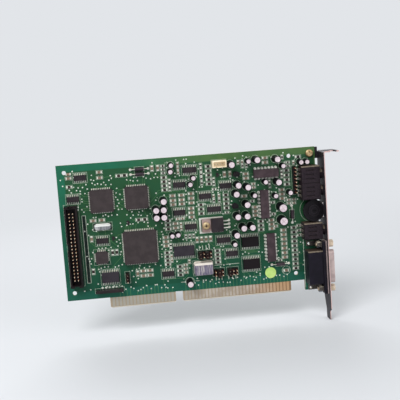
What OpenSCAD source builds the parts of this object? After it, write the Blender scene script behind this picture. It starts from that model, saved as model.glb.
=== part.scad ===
// A sound card for a computer's 16-bit expansion slot, standing upright as it does in the slot.
// The origin is the middle of the long contact tab's lower edge, half way through the board's thickness.
// +X points at the mounting bracket, -Y out of the component side and +Z up, away from the slot.
// Parts on the board are placed from the centre of the long tab's first contact, which is the one
// nearest the bracket, and from the board's lower line, where the tabs begin.

/* [Circuit board] */
// Length of the board, from its free end to its bracket end
board_l = 188; // [188:0.5:330]
// Height of the board above its lower line, without the tabs
board_h = 98.8; // [98.8:0.2:115]
// Thickness of the board
board_t = 1.6; // [1.2:0.1:2.4]
// Distance from the middle of the long tab to the board's bracket end
board_end_x = 63.5; // [63.5:0.1:66]
// Distance that the tabs and the foot reach below the board's lower line
tab_h = 7.9; // [6:0.1:10]
// Radius of the tabs' lower corners
tab_corner_r = 1.5; // [0.5:0.1:2.5]
// Height of the bevel along the tabs' lower edges
tab_bevel_h = 1; // [0.4:0.1:1.4]
// Depth of that bevel on each face
tab_bevel_d = 0.35; // [0.1:0.05:0.5]
// Width of the foot under the game port
foot_w = 12.3; // [10:0.1:20]
// Diameter of the bare tooling holes
tooling_hole_d = 3; // [2:0.1:4]

/* [Bus contacts] */
// Distance between the centres of two contacts
contact_pitch = 2.54; // [2.54:0.01:3]
// Width of one contact
contact_w = 1.78; // [1.2:0.02:2.2]
// Height of one contact
contact_h = 6.5; // [5:0.1:6.7]
// Thickness of the contacts' plating
contact_t = 0.07; // [0.05:0.01:0.2]
// Contacts on each face of the long tab
main_contacts = 31; // [10:1:31]
// Contacts on each face of the short tab
extension_contacts = 18; // [10:1:18]
// Distance from the long tab's last contact to the short tab's first
tab_step = 10.16; // [9.6:0.02:12]
// Board beyond the outer contacts' centres, on both tabs
tab_margin = 2.45; // [1.8:0.05:2.8]

/* [Mounting bracket] */
// Width of the bracket
bracket_w = 18.42; // [17:0.02:20]
// Height of the bracket over all
bracket_h = 124.6; // [122:0.1:126]
// Thickness of the bracket's sheet
bracket_t = 0.9; // [0.7:0.05:1.2]
// Gap between the board and the bracket
bracket_gap = 2.4; // [2:0.1:3]
// Top of the bracket above the board's lower line
bracket_top_z = 95.7; // [95:0.1:97]
// Length of the flange that is screwed to the computer's case
flange_l = 11.43; // [10:0.01:13]
// Width of the flange's screw notch
notch_w = 4.42; // [3.6:0.02:5]
// Inside radius of the bracket's bends
bend_r = 0.6; // [0.4:0.1:1.2]
// Length of the ear behind the board
ear_l = 10.5; // [8:0.1:14]
// Width of the ear
ear_w = 8.4; // [7:0.1:8.8]

/* [Jacks and volume control] */
// Length of a jack's housing along the plug, without its nose
jack_l = 13.4; // [12:0.1:13.8]
// Gap between the jacks' housings and the bracket
jack_gap = 2; // [1.8:0.1:2.6]
// Height of a jack's housing above the board
jack_h = 11.2; // [10:0.1:13]
// Width of the room that one jack takes
jack_pitch = 12.4; // [11.5:0.1:12.4]
// Diameter of a jack's bore
jack_bore_d = 3.6; // [3.5:0.05:4]
// Depth of a jack's bore from its mouth
jack_bore_l = 13.5; // [10:0.1:14]
// Diameter of a jack's nose
nose_d = 7.6; // [6:0.1:8.4]
// Diameter of the volume wheel
wheel_d = 16.2; // [15:0.1:16.2]
// Thickness of the volume wheel at its rim
wheel_t = 2.6; // [2:0.1:3.2]
// Grooves round the volume wheel's rim
wheel_grooves = 48; // [24:1:60]
// Diameter of the volume control's shaft
shaft_d = 3; // [2:0.1:4]

/* [Game port] */
// Distance between the game port's two screws
port_screw_pitch = 33.3; // [33.3:0.1:35]
// Length of the game port's shell at its mouth
port_shell_l = 24.8; // [24:0.1:25.4]
// Width of the shell at its mouth
port_shell_w = 8; // [7.6:0.1:8.6]
// Distance that the shell stands out of the bracket
port_shell_out = 4.8; // [4:0.1:6]
// Thickness of the moulded flange behind the shell's metal one
port_rear_t = 2.2; // [1.6:0.1:3]
// Distance across the flats of the hex screws
hex_af = 4.8; // [4.4:0.1:5.4]

/* [Drive header] */
// Pairs of pins in the drive header
drive_pin_pairs = 20; // [10:1:20]
// Length of the header's housing beyond its outer pins, at each end
drive_end = 5.08; // [4.4:0.02:5.2]
// Width of the header's housing
drive_w = 9; // [8.6:0.1:9.4]
// Height of the header's housing
drive_h = 9.1; // [8.2:0.1:10]
// Thickness of the housing's long walls
drive_wall = 1.2; // [0.8:0.1:1.6]
// Width across one square pin
pin_w = 0.64; // [0.5:0.02:0.8]

/* [Chip packages] */
// Height of the J-lead packages' moulding
plcc_h = 3.6; // [3:0.1:4]
// Room under the J-lead packages' moulding
plcc_lift = 0.7; // [0.5:0.05:1]
// Width of the narrow flat packages' moulding
narrow_w = 3.9; // [3.6:0.1:4.2]
// Height of the narrow flat packages' moulding
narrow_h = 1.5; // [1.2:0.1:1.9]
// Width of the wide flat packages' moulding
wide_w = 7.5; // [7.2:0.1:8]
// Height of the wide flat packages' moulding
wide_h = 2.3; // [1.8:0.1:2.6]
// Room under the flat packages' moulding
flat_lift = 0.15; // [0.1:0.05:0.3]
// Width of the in-line packages' moulding
dip_w = 6.4; // [6.1:0.1:6.8]
// Height of the in-line packages' moulding
dip_h = 3.3; // [3:0.1:3.8]
// Room under the in-line packages' moulding
dip_lift = 0.6; // [0.4:0.1:1]

/* [Capacitors and small parts] */
// Diameter of the small electrolytic capacitors
small_cap_d = 4; // [3.6:0.1:4]
// Diameter of the medium electrolytic capacitors
medium_cap_d = 5; // [4.6:0.1:5.2]
// Diameter of the large electrolytic capacitors
large_cap_d = 6.3; // [6:0.1:6.8]
// Height of the small electrolytic capacitors
small_cap_h = 7; // [5:0.5:9]
// Height of the medium and large electrolytic capacitors
tall_cap_h = 11; // [9:0.5:12]
// Thickness of the capacitors' plastic sleeve
sleeve_t = 0.25; // [0.15:0.05:0.4]
// Width of the sleeve's lip on top of the can
sleeve_lip = 0.45; // [0.35:0.05:0.7]
// Length of the larger chip resistors and capacitors
chip_l = 3.2; // [2.8:0.1:3.4]
// Width of the larger chip resistors and capacitors
chip_w = 1.6; // [1.2:0.1:1.8]
// Height of the chip resistors
chip_h = 0.6; // [0.4:0.05:1]
// Length of the metal on each end of a larger chip
chip_end = 0.5; // [0.3:0.05:0.7]
// Length of the smaller chip resistors and capacitors
small_chip_l = 2; // [1.8:0.05:2.2]
// Width of the smaller chip resistors and capacitors
small_chip_w = 1.25; // [1:0.05:1.4]
// Height of the smaller chip resistors
small_chip_h = 0.5; // [0.4:0.05:0.7]
// Length of the metal on each end of a smaller chip
small_chip_end = 0.4; // [0.2:0.05:0.5]
// How much taller the chip capacitors are than the resistors
capacitor_rise = 0.35; // [0.1:0.05:0.6]

/* [Hidden] */
$fn = 48;
cut = 0.1;  // how far a cutting shape runs past the face that it cuts

// Board and tabs
face_y = -board_t / 2;
back_y = board_t / 2;
first_contact_x = (main_contacts - 1) / 2 * contact_pitch;
main_tab_w = (main_contacts - 1) * contact_pitch + 2 * tab_margin;
extension_tab_w = (extension_contacts - 1) * contact_pitch + 2 * tab_margin;
extension_tab_x = -first_contact_x - tab_step - (extension_contacts - 1) / 2 * contact_pitch;
free_end = board_end_x - board_l - first_contact_x;
bracket_end = board_end_x - first_contact_x;
tooling_in = 5.5;
tooling_holes = [
    [free_end + tooling_in, board_h - tooling_in], [free_end + tooling_in, tooling_in],
    [bracket_end - 19.4, board_h - tooling_in], [bracket_end - 18.6, tooling_in]
];

// Bracket
plate_x = board_end_x + bracket_gap;
plate_back_y = back_y + bracket_t;
plate_front_y = plate_back_y - bracket_w;
plate_top_z = tab_h + bracket_top_z;
plate_foot_z = plate_top_z - bracket_h;
ear_h = 94.2;
ear_z = tab_h + ear_h;
ear_screw_in = 4.2;
ear_screw_x = board_end_x - ear_screw_in;
screw_d = 2.9;
screw_clearance = 0.2;

// What comes through the bracket, from the top down
jack_rise = 0.4;
jack_axis_y = face_y - jack_h / 2 - jack_rise;
jack_front_x = plate_x - jack_gap;
jack_back_x = jack_front_x - jack_l;
volume_h = 52.4;
volume_z = tab_h + volume_h;
volume_gap = 0.35;
twin_jack_z = volume_z + wheel_d / 2 + volume_gap + jack_pitch;
speaker_jack_z = volume_z - wheel_d / 2 - volume_gap - jack_pitch / 2;
wheel_out = 0.6;
volume_x = plate_x + bracket_t + wheel_out - wheel_d / 2;
wheel_y = jack_axis_y;
port_h = 10.6;
port_z = tab_h + port_h;
port_rise = 6.8;
port_axis_y = face_y - port_rise;

// Places of the parts, each as x and z
large_plcc = [-107, 35.8];
medium_plccs = [[-132.2, 71.5], [-107, 72]];
small_plcc = [-135.3, 30.4];
narrow_14s = [
    [-146.1, 89], [-152.4, 74], [-134, 42.3], [-75.7, 78.5], [-42, 75.2], [-57.5, 68.7], [-77, 58.2],
    [-69.4, 47.3], [-40.5, 24.8], [-88.3, 13.8]
];
narrow_16s = [[-67.5, 88.7], [-51.5, 58.7], [-46, 35.3]];
wide_20s = [[-130.4, 15.2], [-26.5, 32.4], [-26.5, 15.8]];
wide_24s = [[-75.7, 29.9]];
in_line_14 = [-11.9, 82.1];
in_line_16s = [[-14.2, 59.4], [-11.2, 27]];
small_caps = [
    [-81, 93.2], [-81.7, 88.7], [-65.6, 82.9], [-68, 78.4], [-24.9, 91.9], [0.4, 86.7], [-13.2, 76],
    [-21.8, 66.8], [-6.3, 65.3], [-38.4, 32.1], [13.6, 88.4], [18, 88.4], [-83.6, 42.2],
    [-79.3, 42.6], [4.6, 66.8]
];
medium_caps = [
    [-88.2, 68.2], [-37.8, 90.7], [-19.1, 92.7], [-4.4, 92.1], [-33.8, 75.5], [-26.9, 73.6],
    [-4.4, 75.5], [-35.6, 69.2], [-28.2, 61], [-35.5, 52.7], [-28.7, 52.7], [-31.7, 44.1],
    [-25.4, 44.2], [-37.1, 39.4], [-73.2, 6.6], [-94, 62.2], [-88.6, 62.2], [-94, 56.8], [-88.6, 56.8]
];
large_caps = [[-2.3, 56.6], [-2.3, 46.9]];
// Axial parts, each with its turn
axial_parts = [[-103.6, 92, 0], [-103.6, 88.5, 0], [-4.8, 13.6, 0], [6.1, 50.2, 90]];
transistors = [[-34, 83], [-36.4, 60]];
small_outline = [[-126, 43.4], [-114.5, 54], [-47.3, 83.5]];
network = [-131.7, 5.6];
header_strip = [9.2, 75.4];
jumper_blocks = [[-60.4, 26, 4], [-51.2, 11.6, 3], [-40.8, 11.6, 3]];
jumper_pair = [-118, 13.8];
audio_connector = [-46, 91.6];
regulator = [-54.6, 47.1];
crystal = [-133, 52.6];
oscillator = [-62.2, 16];
sticker = [-12.4, 7.6];

// Rows of chips: x and z of the first, how many, the step in x and in z, and the turn
resistor_rows = [
    [-154.2, 83, 1, 0, 3, 0], [-118.6, 88.4, 2, 4.2, 0, 0], [-127.4, 33, 2, 3, 0, 90],
    [-106.8, 55.4, 2, 4.4, 0, 0], [-60.9, 56.2, 3, 0, 3.2, 0], [-42.2, 58.8, 4, 0, 3.2, 0],
    [-53.8, 77.4, 5, 0, 3.2, 0], [-86.4, 75.6, 4, 0, 3, 0], [-85.8, 46.8, 3, 0, 3, 0],
    [-88, 20.8, 4, 0, 2.9, 0], [-51.1, 19, 4, 0, 2.9, 0], [6.8, 9.4, 10, 0, 3.4, 0],
    [-17.6, 40.6, 3, 0, 3.1, 0], [3.6, 72.6, 4, 0, 3.4, 0], [-142.4, 20.2, 1, 0, 3, 90],
    [-79.4, 12.2, 3, 0, 3.1, 0], [12.8, 92.2, 1, 0, 3, 0]
];
small_resistor_rows = [
    [-59.2, 78.4, 5, 0, 3.2, 90], [-50.4, 77.2, 2, 0, 3, 90], [-86.6, 87.8, 3, 0, 2.6, 0],
    [-82.6, 76, 3, 0, 2.8, 90], [-73.4, 40.2, 3, 2.8, 0, 90], [-85, 31.4, 2, 0, 3.2, 90],
    [-51.2, 64.8, 2, 4, 0, 90], [-50.4, 73.2, 1, 0, 3, 0], [-42.2, 55.4, 1, 0, 3, 0],
    [-23, 62.2, 1, 0, 3, 0], [-9.4, 72.4, 2, 0, 2.8, 90], [-28.6, 88.6, 2, 2.9, 0, 90],
    [1, 92.8, 1, 0, 3, 90], [5, 86, 2, 0, 2.6, 0], [0, 79, 2, 0, 2.8, 90],
    [-7.8, 60, 1, 0, 3, 0], [-7.6, 51.4, 1, 0, 3, 0], [10.6, 34, 3, 0, 3.6, 0],
    [-4.8, 16.4, 1, 0, 3, 0]
];
capacitor_rows = [
    [-154.2, 89.2, 2, 0, 3, 0], [-132.2, 88, 2, 0, 4, 0], [-94.4, 91.8, 2, 4.2, 0, 90],
    [-139.4, 57.4, 2, 6.2, 0, 0], [-110.6, 16, 1, 3, 0, 90], [-106.4, 14, 2, 0, 3.6, 0],
    [-101.4, 14, 2, 0, 3.6, 0], [-67.6, 64.6, 3, 0, 3.4, 0], [-74.6, 67.4, 2, 0, 3.4, 0],
    [-81, 67.4, 2, 0, 3.4, 0], [-80.4, 47.2, 2, 0, 3.2, 0], [-88.2, 34.6, 3, 0, 3.1, 0],
    [-65.4, 37, 4, 3.3, 0, 90], [-1, 18.4, 7, 0, 3.4, 0], [-9.6, 40.8, 3, 0, 3.1, 0],
    [-21.2, 51.6, 3, 0, 3, 0], [-28.8, 66.4, 1, 0, 3, 0], [-42.2, 83.4, 2, 4, 0, 90],
    [-0.6, 62.4, 3, 0, 3.2, 0], [-11.8, 89.8, 2, 0, 3.4, 0], [-26.6, 79.4, 2, 0, 3.2, 0],
    [-141.6, 44.2, 1, 0, 3, 90], [-68.2, 54.2, 3, 0, 3.2, 0], [-81, 64.4, 1, 0, 3, 0],
    [-74.6, 64.4, 1, 0, 3, 0], [-0.6, 8.4, 1, 0, 3, 0]
];
small_capacitor_rows = [
    [-75.8, 87.6, 3, 0, 2.9, 90], [-78.4, 53.6, 2, 3.4, 0, 0], [-76.4, 46.4, 2, 0, 3, 90],
    [-84.9, 23.4, 2, 0, 3, 90], [-75.2, 13.6, 3, 0, 2.8, 0], [-72.2, 21.4, 1, 0, 3, 90],
    [-51.2, 68, 2, 4, 0, 90], [-21.4, 72.2, 2, 0, 2.6, 0], [-31.6, 91.4, 2, 2.9, 0, 90],
    [9.2, 88.2, 1, 0, 3, 90], [-6.6, 42.2, 1, 0, 3, 0], [4.2, 58.4, 2, 0, 2.6, 0],
    [8, 58.4, 2, 0, 2.6, 0]
];

// Board
module on_face(place, turn = 0) {
    translate([first_contact_x + place[0], face_y, tab_h + place[1]])
        rotate([90, 0, 0])
            rotate([0, 0, turn])
                children();
}

module each_place(places, turn = 0) {
    for (place = places)
        on_face(place, turn)
            children();
}

module tab_plan(middle, w) {
    translate([middle - w / 2, tab_corner_r])
        square([w, tab_h - tab_corner_r]);
    translate([middle - w / 2 + tab_corner_r, 0])
        square([w - 2 * tab_corner_r, tab_corner_r]);
    for (side = [-1, 1])
        translate([middle + side * (w / 2 - tab_corner_r), tab_corner_r])
            circle(tab_corner_r);
}

module board_plan() {
    translate([board_end_x - board_l, tab_h])
        square([board_l, board_h]);
    translate([board_end_x - foot_w, 0])
        square([foot_w, tab_h]);
    tab_plan(0, main_tab_w);
    tab_plan(extension_tab_x, extension_tab_w);
}

module tab_bevels(middle, w) {
    for (side = [0, 1])
        mirror([0, side, 0])
            translate([middle - w / 2 - cut, 0, 0])
                rotate([90, 0, 90])
                    linear_extrude(w + 2 * cut)
                        polygon([
                            [back_y - tab_bevel_d, 0], [back_y, tab_bevel_h], [back_y + cut, tab_bevel_h],
                            [back_y + cut, -cut], [back_y - tab_bevel_d, -cut]
                        ]);
}

module circuit_board() {
    color("seagreen")
        difference() {
            rotate([90, 0, 0])
                linear_extrude(board_t, center = true)
                    board_plan();
            tab_bevels(0, main_tab_w);
            tab_bevels(extension_tab_x, extension_tab_w);
            for (hole = tooling_holes)
                on_face(hole)
                    translate([0, 0, -board_t - cut])
                        cylinder(d = tooling_hole_d, h = board_t + 2 * cut);
            translate([ear_screw_x, back_y + cut, ear_z])
                rotate([90, 0, 0])
                    cylinder(d = screw_d + 2 * screw_clearance, h = board_t + 2 * cut);
            for (side = [-1, 1])
                translate([port_foot_x, back_y + cut, port_z + side * port_screw_pitch / 2])
                    rotate([90, 0, 0])
                        cylinder(d = port_eyelet_d, h = board_t + 2 * cut);
        }
}

module contacts(middle, count) {
    for (side = [0, 1], i = [0 : count - 1])
        mirror([0, side, 0])
            translate([
                middle + (i - (count - 1) / 2) * contact_pitch - contact_w / 2,
                back_y,
                tab_bevel_h + cut
            ])
                cube([contact_w, contact_t, contact_h]);
}

module main_bus_contacts() {
    color("goldenrod")
        contacts(0, main_contacts);
}

module extension_bus_contacts() {
    color("goldenrod")
        contacts(extension_tab_x, extension_contacts);
}

// Bracket
bend_out = bend_r + bracket_t;
tongue_drop = 9;
tongue_w = 8.4;
tongue_step = 2.4;
back_taper_h = 12;
tongue_in = 3.6;
tongue_front_y = plate_front_y + tongue_in;
tongue_back_y = tongue_front_y + tongue_w;
notch_out = 6.35;
notch_x = plate_x + bracket_t + notch_out;
notch_depth = 7.6;
wheel_chord = 2 * sqrt(pow(wheel_d / 2, 2) - pow(plate_x - volume_x, 2));
wheel_slot_gap = 0.9;
wheel_slot_h = wheel_chord + 2 * wheel_slot_gap;
wheel_slot_w = wheel_t + 2 * wheel_slot_gap;
nose_gap = 0.2;
screw_gap = 0.15;

module plate_outline() {
    polygon([
        [plate_back_y, plate_top_z],
        [plate_front_y, plate_top_z],
        [plate_front_y, plate_foot_z + tongue_drop],
        [tongue_front_y, plate_foot_z + tongue_drop - tongue_step],
        [tongue_front_y, plate_foot_z],
        [tongue_back_y, plate_foot_z],
        [tongue_back_y, plate_foot_z + tongue_drop - tongue_step],
        [plate_back_y, plate_foot_z + tongue_drop + back_taper_h]
    ]);
}

// The sheet as it is seen along its width: the plate, the bend and the flange
module sheet_profile() {
    square_h = bracket_h - bend_out;
    translate([0, -bracket_h])
        square([bracket_t, square_h]);
    translate([bend_out, -bracket_t])
        square([flange_l - bend_out, bracket_t]);
    translate([bend_out, -bend_out])
        intersection() {
            difference() {
                circle(bend_out);
                circle(bend_r);
            }
            translate([-bend_out, 0])
                square(bend_out);
        }
}

module ear() {
    difference() {
        translate([plate_x - ear_l, back_y, ear_z - ear_w / 2])
            cube([ear_l, bracket_t, ear_w]);
        translate([ear_screw_x, back_y + bracket_t + cut, ear_z])
            rotate([90, 0, 0])
                cylinder(d = screw_d, h = bracket_t + 2 * cut);
    }
}

// A rounded D, wide towards the front, drawn in the YZ plane round its own centre
shell_slope = 10;
shell_corner_r = 2.4;
function d_corners(l, w, r) = [
    [w / 2 - r, l / 2 - r - w * tan(shell_slope)],
    [-w / 2 + r, l / 2 - r],
    [-w / 2 + r, -l / 2 + r],
    [w / 2 - r, -l / 2 + r + w * tan(shell_slope)]
];
function slope_normal(side) = [sin(shell_slope), side * cos(shell_slope)];
module d_plan(l, w, r) {
    c = d_corners(l, w, r);
    polygon([
        c[0] + [r, 0], c[0] + r * slope_normal(1), c[1] + r * slope_normal(1), c[1] - [r, 0],
        c[2] - [r, 0], c[2] + r * slope_normal(-1), c[3] + r * slope_normal(-1), c[3] + [r, 0]
    ]);
    for (corner = c)
        translate(corner)
            circle(r);
}

// Turns a plan drawn in Y and Z into a solid that runs along +X from where it is put
module along_x(h) {
    rotate([90, 0, 90])
        linear_extrude(h)
            children();
}

port_fit = 0.35;
module mounting_bracket() {
    color("silver")
        difference() {
            union() {
                intersection() {
                    translate([plate_x, plate_back_y, plate_top_z])
                        rotate([90, 0, 0])
                            linear_extrude(bracket_w)
                                sheet_profile();
                    translate([plate_x - cut, 0, 0])
                        along_x(flange_l + 2 * cut)
                            plate_outline();
                }
                ear();
            }
            for (z = jack_centres)
                translate([plate_x - cut, jack_axis_y, z])
                    rotate([0, 90, 0])
                        cylinder(d = nose_d + 2 * nose_gap, h = bracket_t + 2 * cut);
            translate([plate_x - cut, wheel_y - wheel_slot_w / 2, volume_z - wheel_slot_h / 2])
                cube([bracket_t + 2 * cut, wheel_slot_w, wheel_slot_h]);
            translate([plate_x - cut, port_axis_y, port_z])
                along_x(bracket_t + 2 * cut)
                    d_plan(port_shell_l + 2 * port_fit, port_shell_w + 2 * port_fit, shell_corner_r + port_fit);
            for (side = [-1, 1])
                translate([plate_x - cut, port_axis_y, port_z + side * port_screw_pitch / 2])
                    rotate([0, 90, 0])
                        cylinder(d = port_thread_d + 2 * screw_gap, h = bracket_t + 2 * cut);
            translate([notch_x, plate_front_y + notch_depth - notch_w / 2, plate_top_z - bracket_t - cut])
                cylinder(d = notch_w, h = bracket_t + 2 * cut);
            translate([notch_x - notch_w / 2, plate_front_y - cut, plate_top_z - bracket_t - cut])
                cube([notch_w, notch_depth - notch_w / 2 + cut, bracket_t + 2 * cut]);
        }
}

screw_head_d = 5.6;
screw_head_h = 2;
cross_w = 0.9;
cross_l = 3.2;
cross_depth = 1.2;
// A pan head with a cross recess, its seat at the origin and its shank pointing down
module pan_screw(head_d, head_h, shank_d, shank_l) {
    difference() {
        rotate_extrude()
            polygon(concat(
                [[0, 0], [head_d / 2, 0]],
                [for (a = [0 : 15 : 75])
                    [head_d / 2 - head_h / 2 * (1 - cos(a)), head_h / 2 + head_h / 2 * sin(a)]],
                [[0, head_h]]
            ));
        for (turn = [0, 90])
            rotate([0, 0, turn])
                translate([-cross_l / 2, -cross_w / 2, head_h - cross_depth])
                    cube([cross_l, cross_w, cross_depth + cut]);
    }
    translate([0, 0, -shank_l])
        cylinder(d = shank_d, h = shank_l);
}

module bracket_screw() {
    color("gainsboro")
        translate([ear_screw_x, face_y, ear_z])
            rotate([90, 0, 0])
                pan_screw(screw_head_d, screw_head_h, screw_d, board_t + bracket_t + 1.2);
}

// Jacks
jack_centres = [
    twin_jack_z + jack_pitch / 2, twin_jack_z - jack_pitch / 2, speaker_jack_z
];
nose_out = 0.5;
jack_chamfer = 0.8;
spring_slot_w = 1.1;
spring_slot_l = 6;
spring_slot_depth = 0.7;
spring_slot_in = 3;
spring_pitch = 3;
seam_w = 0.6;
seam_depth = 0.5;
terminal_pitch = 3.4;
terminal_rise = 7;
terminal_t = 0.35;
terminal_w = 1.6;

// The housing of a row of jacks, seen along the plugs, with its outer corners cut off
module jack_section(length) {
    c = jack_chamfer;
    polygon([
        [face_y, -length / 2], [face_y, length / 2], [face_y - jack_h + c, length / 2],
        [face_y - jack_h, length / 2 - c], [face_y - jack_h, -length / 2 + c],
        [face_y - jack_h + c, -length / 2]
    ]);
}

module jack_housing(middle_z, count) {
    length = count * jack_pitch;
    difference() {
        union() {
            translate([jack_back_x, 0, middle_z])
                along_x(jack_l)
                    jack_section(length);
            for (i = [0 : count - 1])
                translate([jack_front_x - cut, jack_axis_y, middle_z + (i - (count - 1) / 2) * jack_pitch])
                    rotate([0, 90, 0])
                        cylinder(d = nose_d, h = jack_gap + bracket_t + nose_out + cut);
        }
        for (i = [0 : count - 1])
            translate([0, 0, middle_z + (i - (count - 1) / 2) * jack_pitch]) {
                translate([plate_x + bracket_t + nose_out - jack_bore_l, jack_axis_y, 0])
                    rotate([0, 90, 0])
                        cylinder(d = jack_bore_d, h = jack_bore_l + cut);
                for (step = [-1, 0, 1])
                    translate([
                        jack_back_x + spring_slot_in,
                        face_y - jack_h - cut,
                        step * spring_pitch - spring_slot_w / 2
                    ])
                        cube([spring_slot_l, spring_slot_depth + cut, spring_slot_w]);
            }
        if (count > 1)
            translate([jack_back_x - cut, face_y - jack_h - cut, middle_z - seam_w / 2])
                cube([jack_l + 2 * cut, seam_depth + cut, seam_w]);
    }
}

module twin_jack_housing() {
    color("dimgray")
        jack_housing(twin_jack_z, 2);
}

module speaker_jack_housing() {
    color("dimgray")
        jack_housing(speaker_jack_z, 1);
}

// Flat terminals that run down each housing's back wall to the board
module jack_terminals() {
    color("silver")
        for (z = jack_centres, step = [-1, 0, 1])
            translate([
                jack_back_x - terminal_t,
                face_y - terminal_rise,
                z + step * terminal_pitch - terminal_w / 2
            ])
                cube([terminal_t, terminal_rise, terminal_w]);
}

// Volume control
groove_w = 0.5;
groove_depth = 0.35;
hub_d = 7.8;
rim_w = 1.6;
hub_ring_depth = 0.8;
shaft_clearance = 0.05;
base_w = 10;
base_h = 3.2;
base_step = 0.8;
base_inset = 0.5;
control_pitch = 2.5;
control_pin_w = 0.8;
control_pin_t = 0.3;

module volume_wheel() {
    color("dimgray")
        translate([volume_x, wheel_y + wheel_t / 2, volume_z])
            rotate([90, 0, 0])
                difference() {
                    linear_extrude(wheel_t)
                        difference() {
                            circle(d = wheel_d, $fn = 96);
                            for (i = [0 : wheel_grooves - 1])
                                rotate(i * 360 / wheel_grooves)
                                    translate([wheel_d / 2 - groove_depth, -groove_w / 2])
                                        square([groove_depth + cut, groove_w]);
                        }
                    translate([0, 0, wheel_t - hub_ring_depth])
                        difference() {
                            cylinder(d = wheel_d - 2 * rim_w, h = hub_ring_depth + cut);
                            cylinder(d = hub_d, h = hub_ring_depth + cut);
                        }
                    translate([0, 0, -cut])
                        cylinder(d = shaft_d, h = wheel_t + 2 * cut);
                }
}

slit_w = 0.6;
slit_depth = 0.6;
shaft_lift = 0.4;
shaft_back_y = face_y - shaft_lift;
shaft_l = shaft_back_y - (wheel_y - wheel_t / 2);
module volume_shaft() {
    color("silver")
        translate([volume_x, shaft_back_y, volume_z])
            rotate([90, 0, 0])
                difference() {
                    cylinder(d = shaft_d, h = shaft_l);
                    translate([-shaft_d / 2, -slit_w / 2, shaft_l - slit_depth])
                        cube([shaft_d, slit_w, slit_depth + cut]);
                }
}

module volume_control_base() {
    color("saddlebrown")
        translate([volume_x, face_y, volume_z])
            rotate([90, 0, 0])
                difference() {
                    union() {
                        translate([-base_w / 2, -base_w / 2, 0])
                            cube([base_w, base_w, base_h - base_step]);
                        cylinder(d = base_w - 2 * base_inset, h = base_h);
                    }
                    translate([0, 0, -cut])
                        cylinder(d = shaft_d + 2 * shaft_clearance, h = base_h + 2 * cut);
                }
}

module volume_control_terminals() {
    color("silver")
        for (side = [-1, 1], step = [-1, 0, 1])
            translate([
                volume_x + step * control_pitch - control_pin_w / 2,
                face_y - base_h / 2,
                volume_z + side * (base_w + control_pin_t) / 2 - control_pin_t / 2
            ])
                cube([control_pin_w, base_h / 2, control_pin_t]);
}

// Game port
port_flange_end = 2.9;
port_flange_l = port_screw_pitch + 2 * port_flange_end;
port_flange_w = 12.5;
port_flange_t = 0.8;
port_body_l = 25;
port_body_w = 12.2;
port_body_in = 11.4;
port_body_back_x = board_end_x - port_body_in;
port_body_chamfer = 0.8;
port_insert_in = 0.4;
port_first_row = 4;
port_rear_x = plate_x - port_flange_t - port_rear_t;
port_shell_t = 0.5;
port_thread_d = 2.8;
port_socket_d = 1.5;
port_socket_hole_d = 1;
port_socket_l = 5;
port_socket_in = 0.3;
port_row_pitch = 2.84;
port_socket_pitch = 2.74;
port_foot_in = 8.2;
port_foot_x = board_end_x - port_foot_in;
port_foot_l = 8.6;
port_foot_w = 3.6;
port_eyelet_d = 2.6;
port_eyelet_t = 0.4;
port_eyelet_lip = 0.5;
port_eyelet_lip_d = 3.4;
port_strap_rise = 3.2;
port_lock_t = 0.8;
port_nut_h = 2.4;
port_mouth_x = plate_x + bracket_t + port_shell_out;
port_sockets = concat(
    [for (i = [0 : 7]) [-port_row_pitch / 2, (i - 3.5) * port_socket_pitch]],
    [for (i = [0 : 6]) [port_row_pitch / 2, (i - 3) * port_socket_pitch]]
);

module at_port(x) {
    translate([x, port_axis_y, port_z])
        children();
}

module port_screw_holes(x, h) {
    for (side = [-1, 1])
        at_port(x - cut)
            translate([0, 0, side * port_screw_pitch / 2])
                rotate([0, 90, 0])
                    cylinder(d = port_thread_d + 2 * screw_gap, h = h + 2 * cut);
}

module port_flange(x, t) {
    at_port(x)
        translate([0, -port_flange_w / 2, -port_flange_l / 2])
            cube([t, port_flange_w, port_flange_l]);
}

module game_port_housing() {
    c = port_body_chamfer;
    color("dimgray")
        difference() {
            union() {
                translate([port_body_back_x, 0, port_z])
                    along_x(port_rear_x + cut - port_body_back_x)
                        polygon([
                            [face_y, -port_body_l / 2], [face_y, port_body_l / 2],
                            [face_y - port_body_w + c, port_body_l / 2],
                            [face_y - port_body_w, port_body_l / 2 - c],
                            [face_y - port_body_w, -port_body_l / 2 + c],
                            [face_y - port_body_w + c, -port_body_l / 2]
                        ]);
                port_flange(port_rear_x, port_rear_t);
                at_port(plate_x - port_flange_t)
                    along_x(port_mouth_x - port_insert_in - plate_x + port_flange_t)
                        d_plan(
                            port_shell_l - 2 * port_shell_t,
                            port_shell_w - 2 * port_shell_t,
                            shell_corner_r - port_shell_t
                        );
            }
            port_screw_holes(port_rear_x, port_rear_t);
            for (socket = port_sockets)
                at_port(port_mouth_x - port_insert_in - port_socket_l)
                    translate([0, socket[0], socket[1]])
                        rotate([0, 90, 0])
                            cylinder(d = port_socket_d, h = port_socket_l + cut, $fn = 24);
        }
}

module game_port_sockets() {
    color("gold")
        for (socket = port_sockets)
            at_port(port_mouth_x - port_insert_in - port_socket_l)
                translate([0, socket[0], socket[1]])
                    rotate([0, 90, 0])
                        difference() {
                            cylinder(d = port_socket_d, h = port_socket_l - port_socket_in, $fn = 24);
                            translate([0, 0, 1])
                                cylinder(d = port_socket_hole_d, h = port_socket_l, $fn = 24);
                        }
}

module game_port_shell() {
    color("silver")
        difference() {
            union() {
                port_flange(plate_x - port_flange_t, port_flange_t);
                at_port(plate_x)
                    along_x(port_mouth_x - plate_x)
                        d_plan(port_shell_l, port_shell_w, shell_corner_r);
            }
            at_port(plate_x - port_flange_t - cut)
                along_x(port_mouth_x - plate_x + port_flange_t + 2 * cut)
                    d_plan(
                        port_shell_l - 2 * port_shell_t,
                        port_shell_w - 2 * port_shell_t,
                        shell_corner_r - port_shell_t
                    );
            port_screw_holes(plate_x - port_flange_t, port_flange_t);
        }
}

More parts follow.
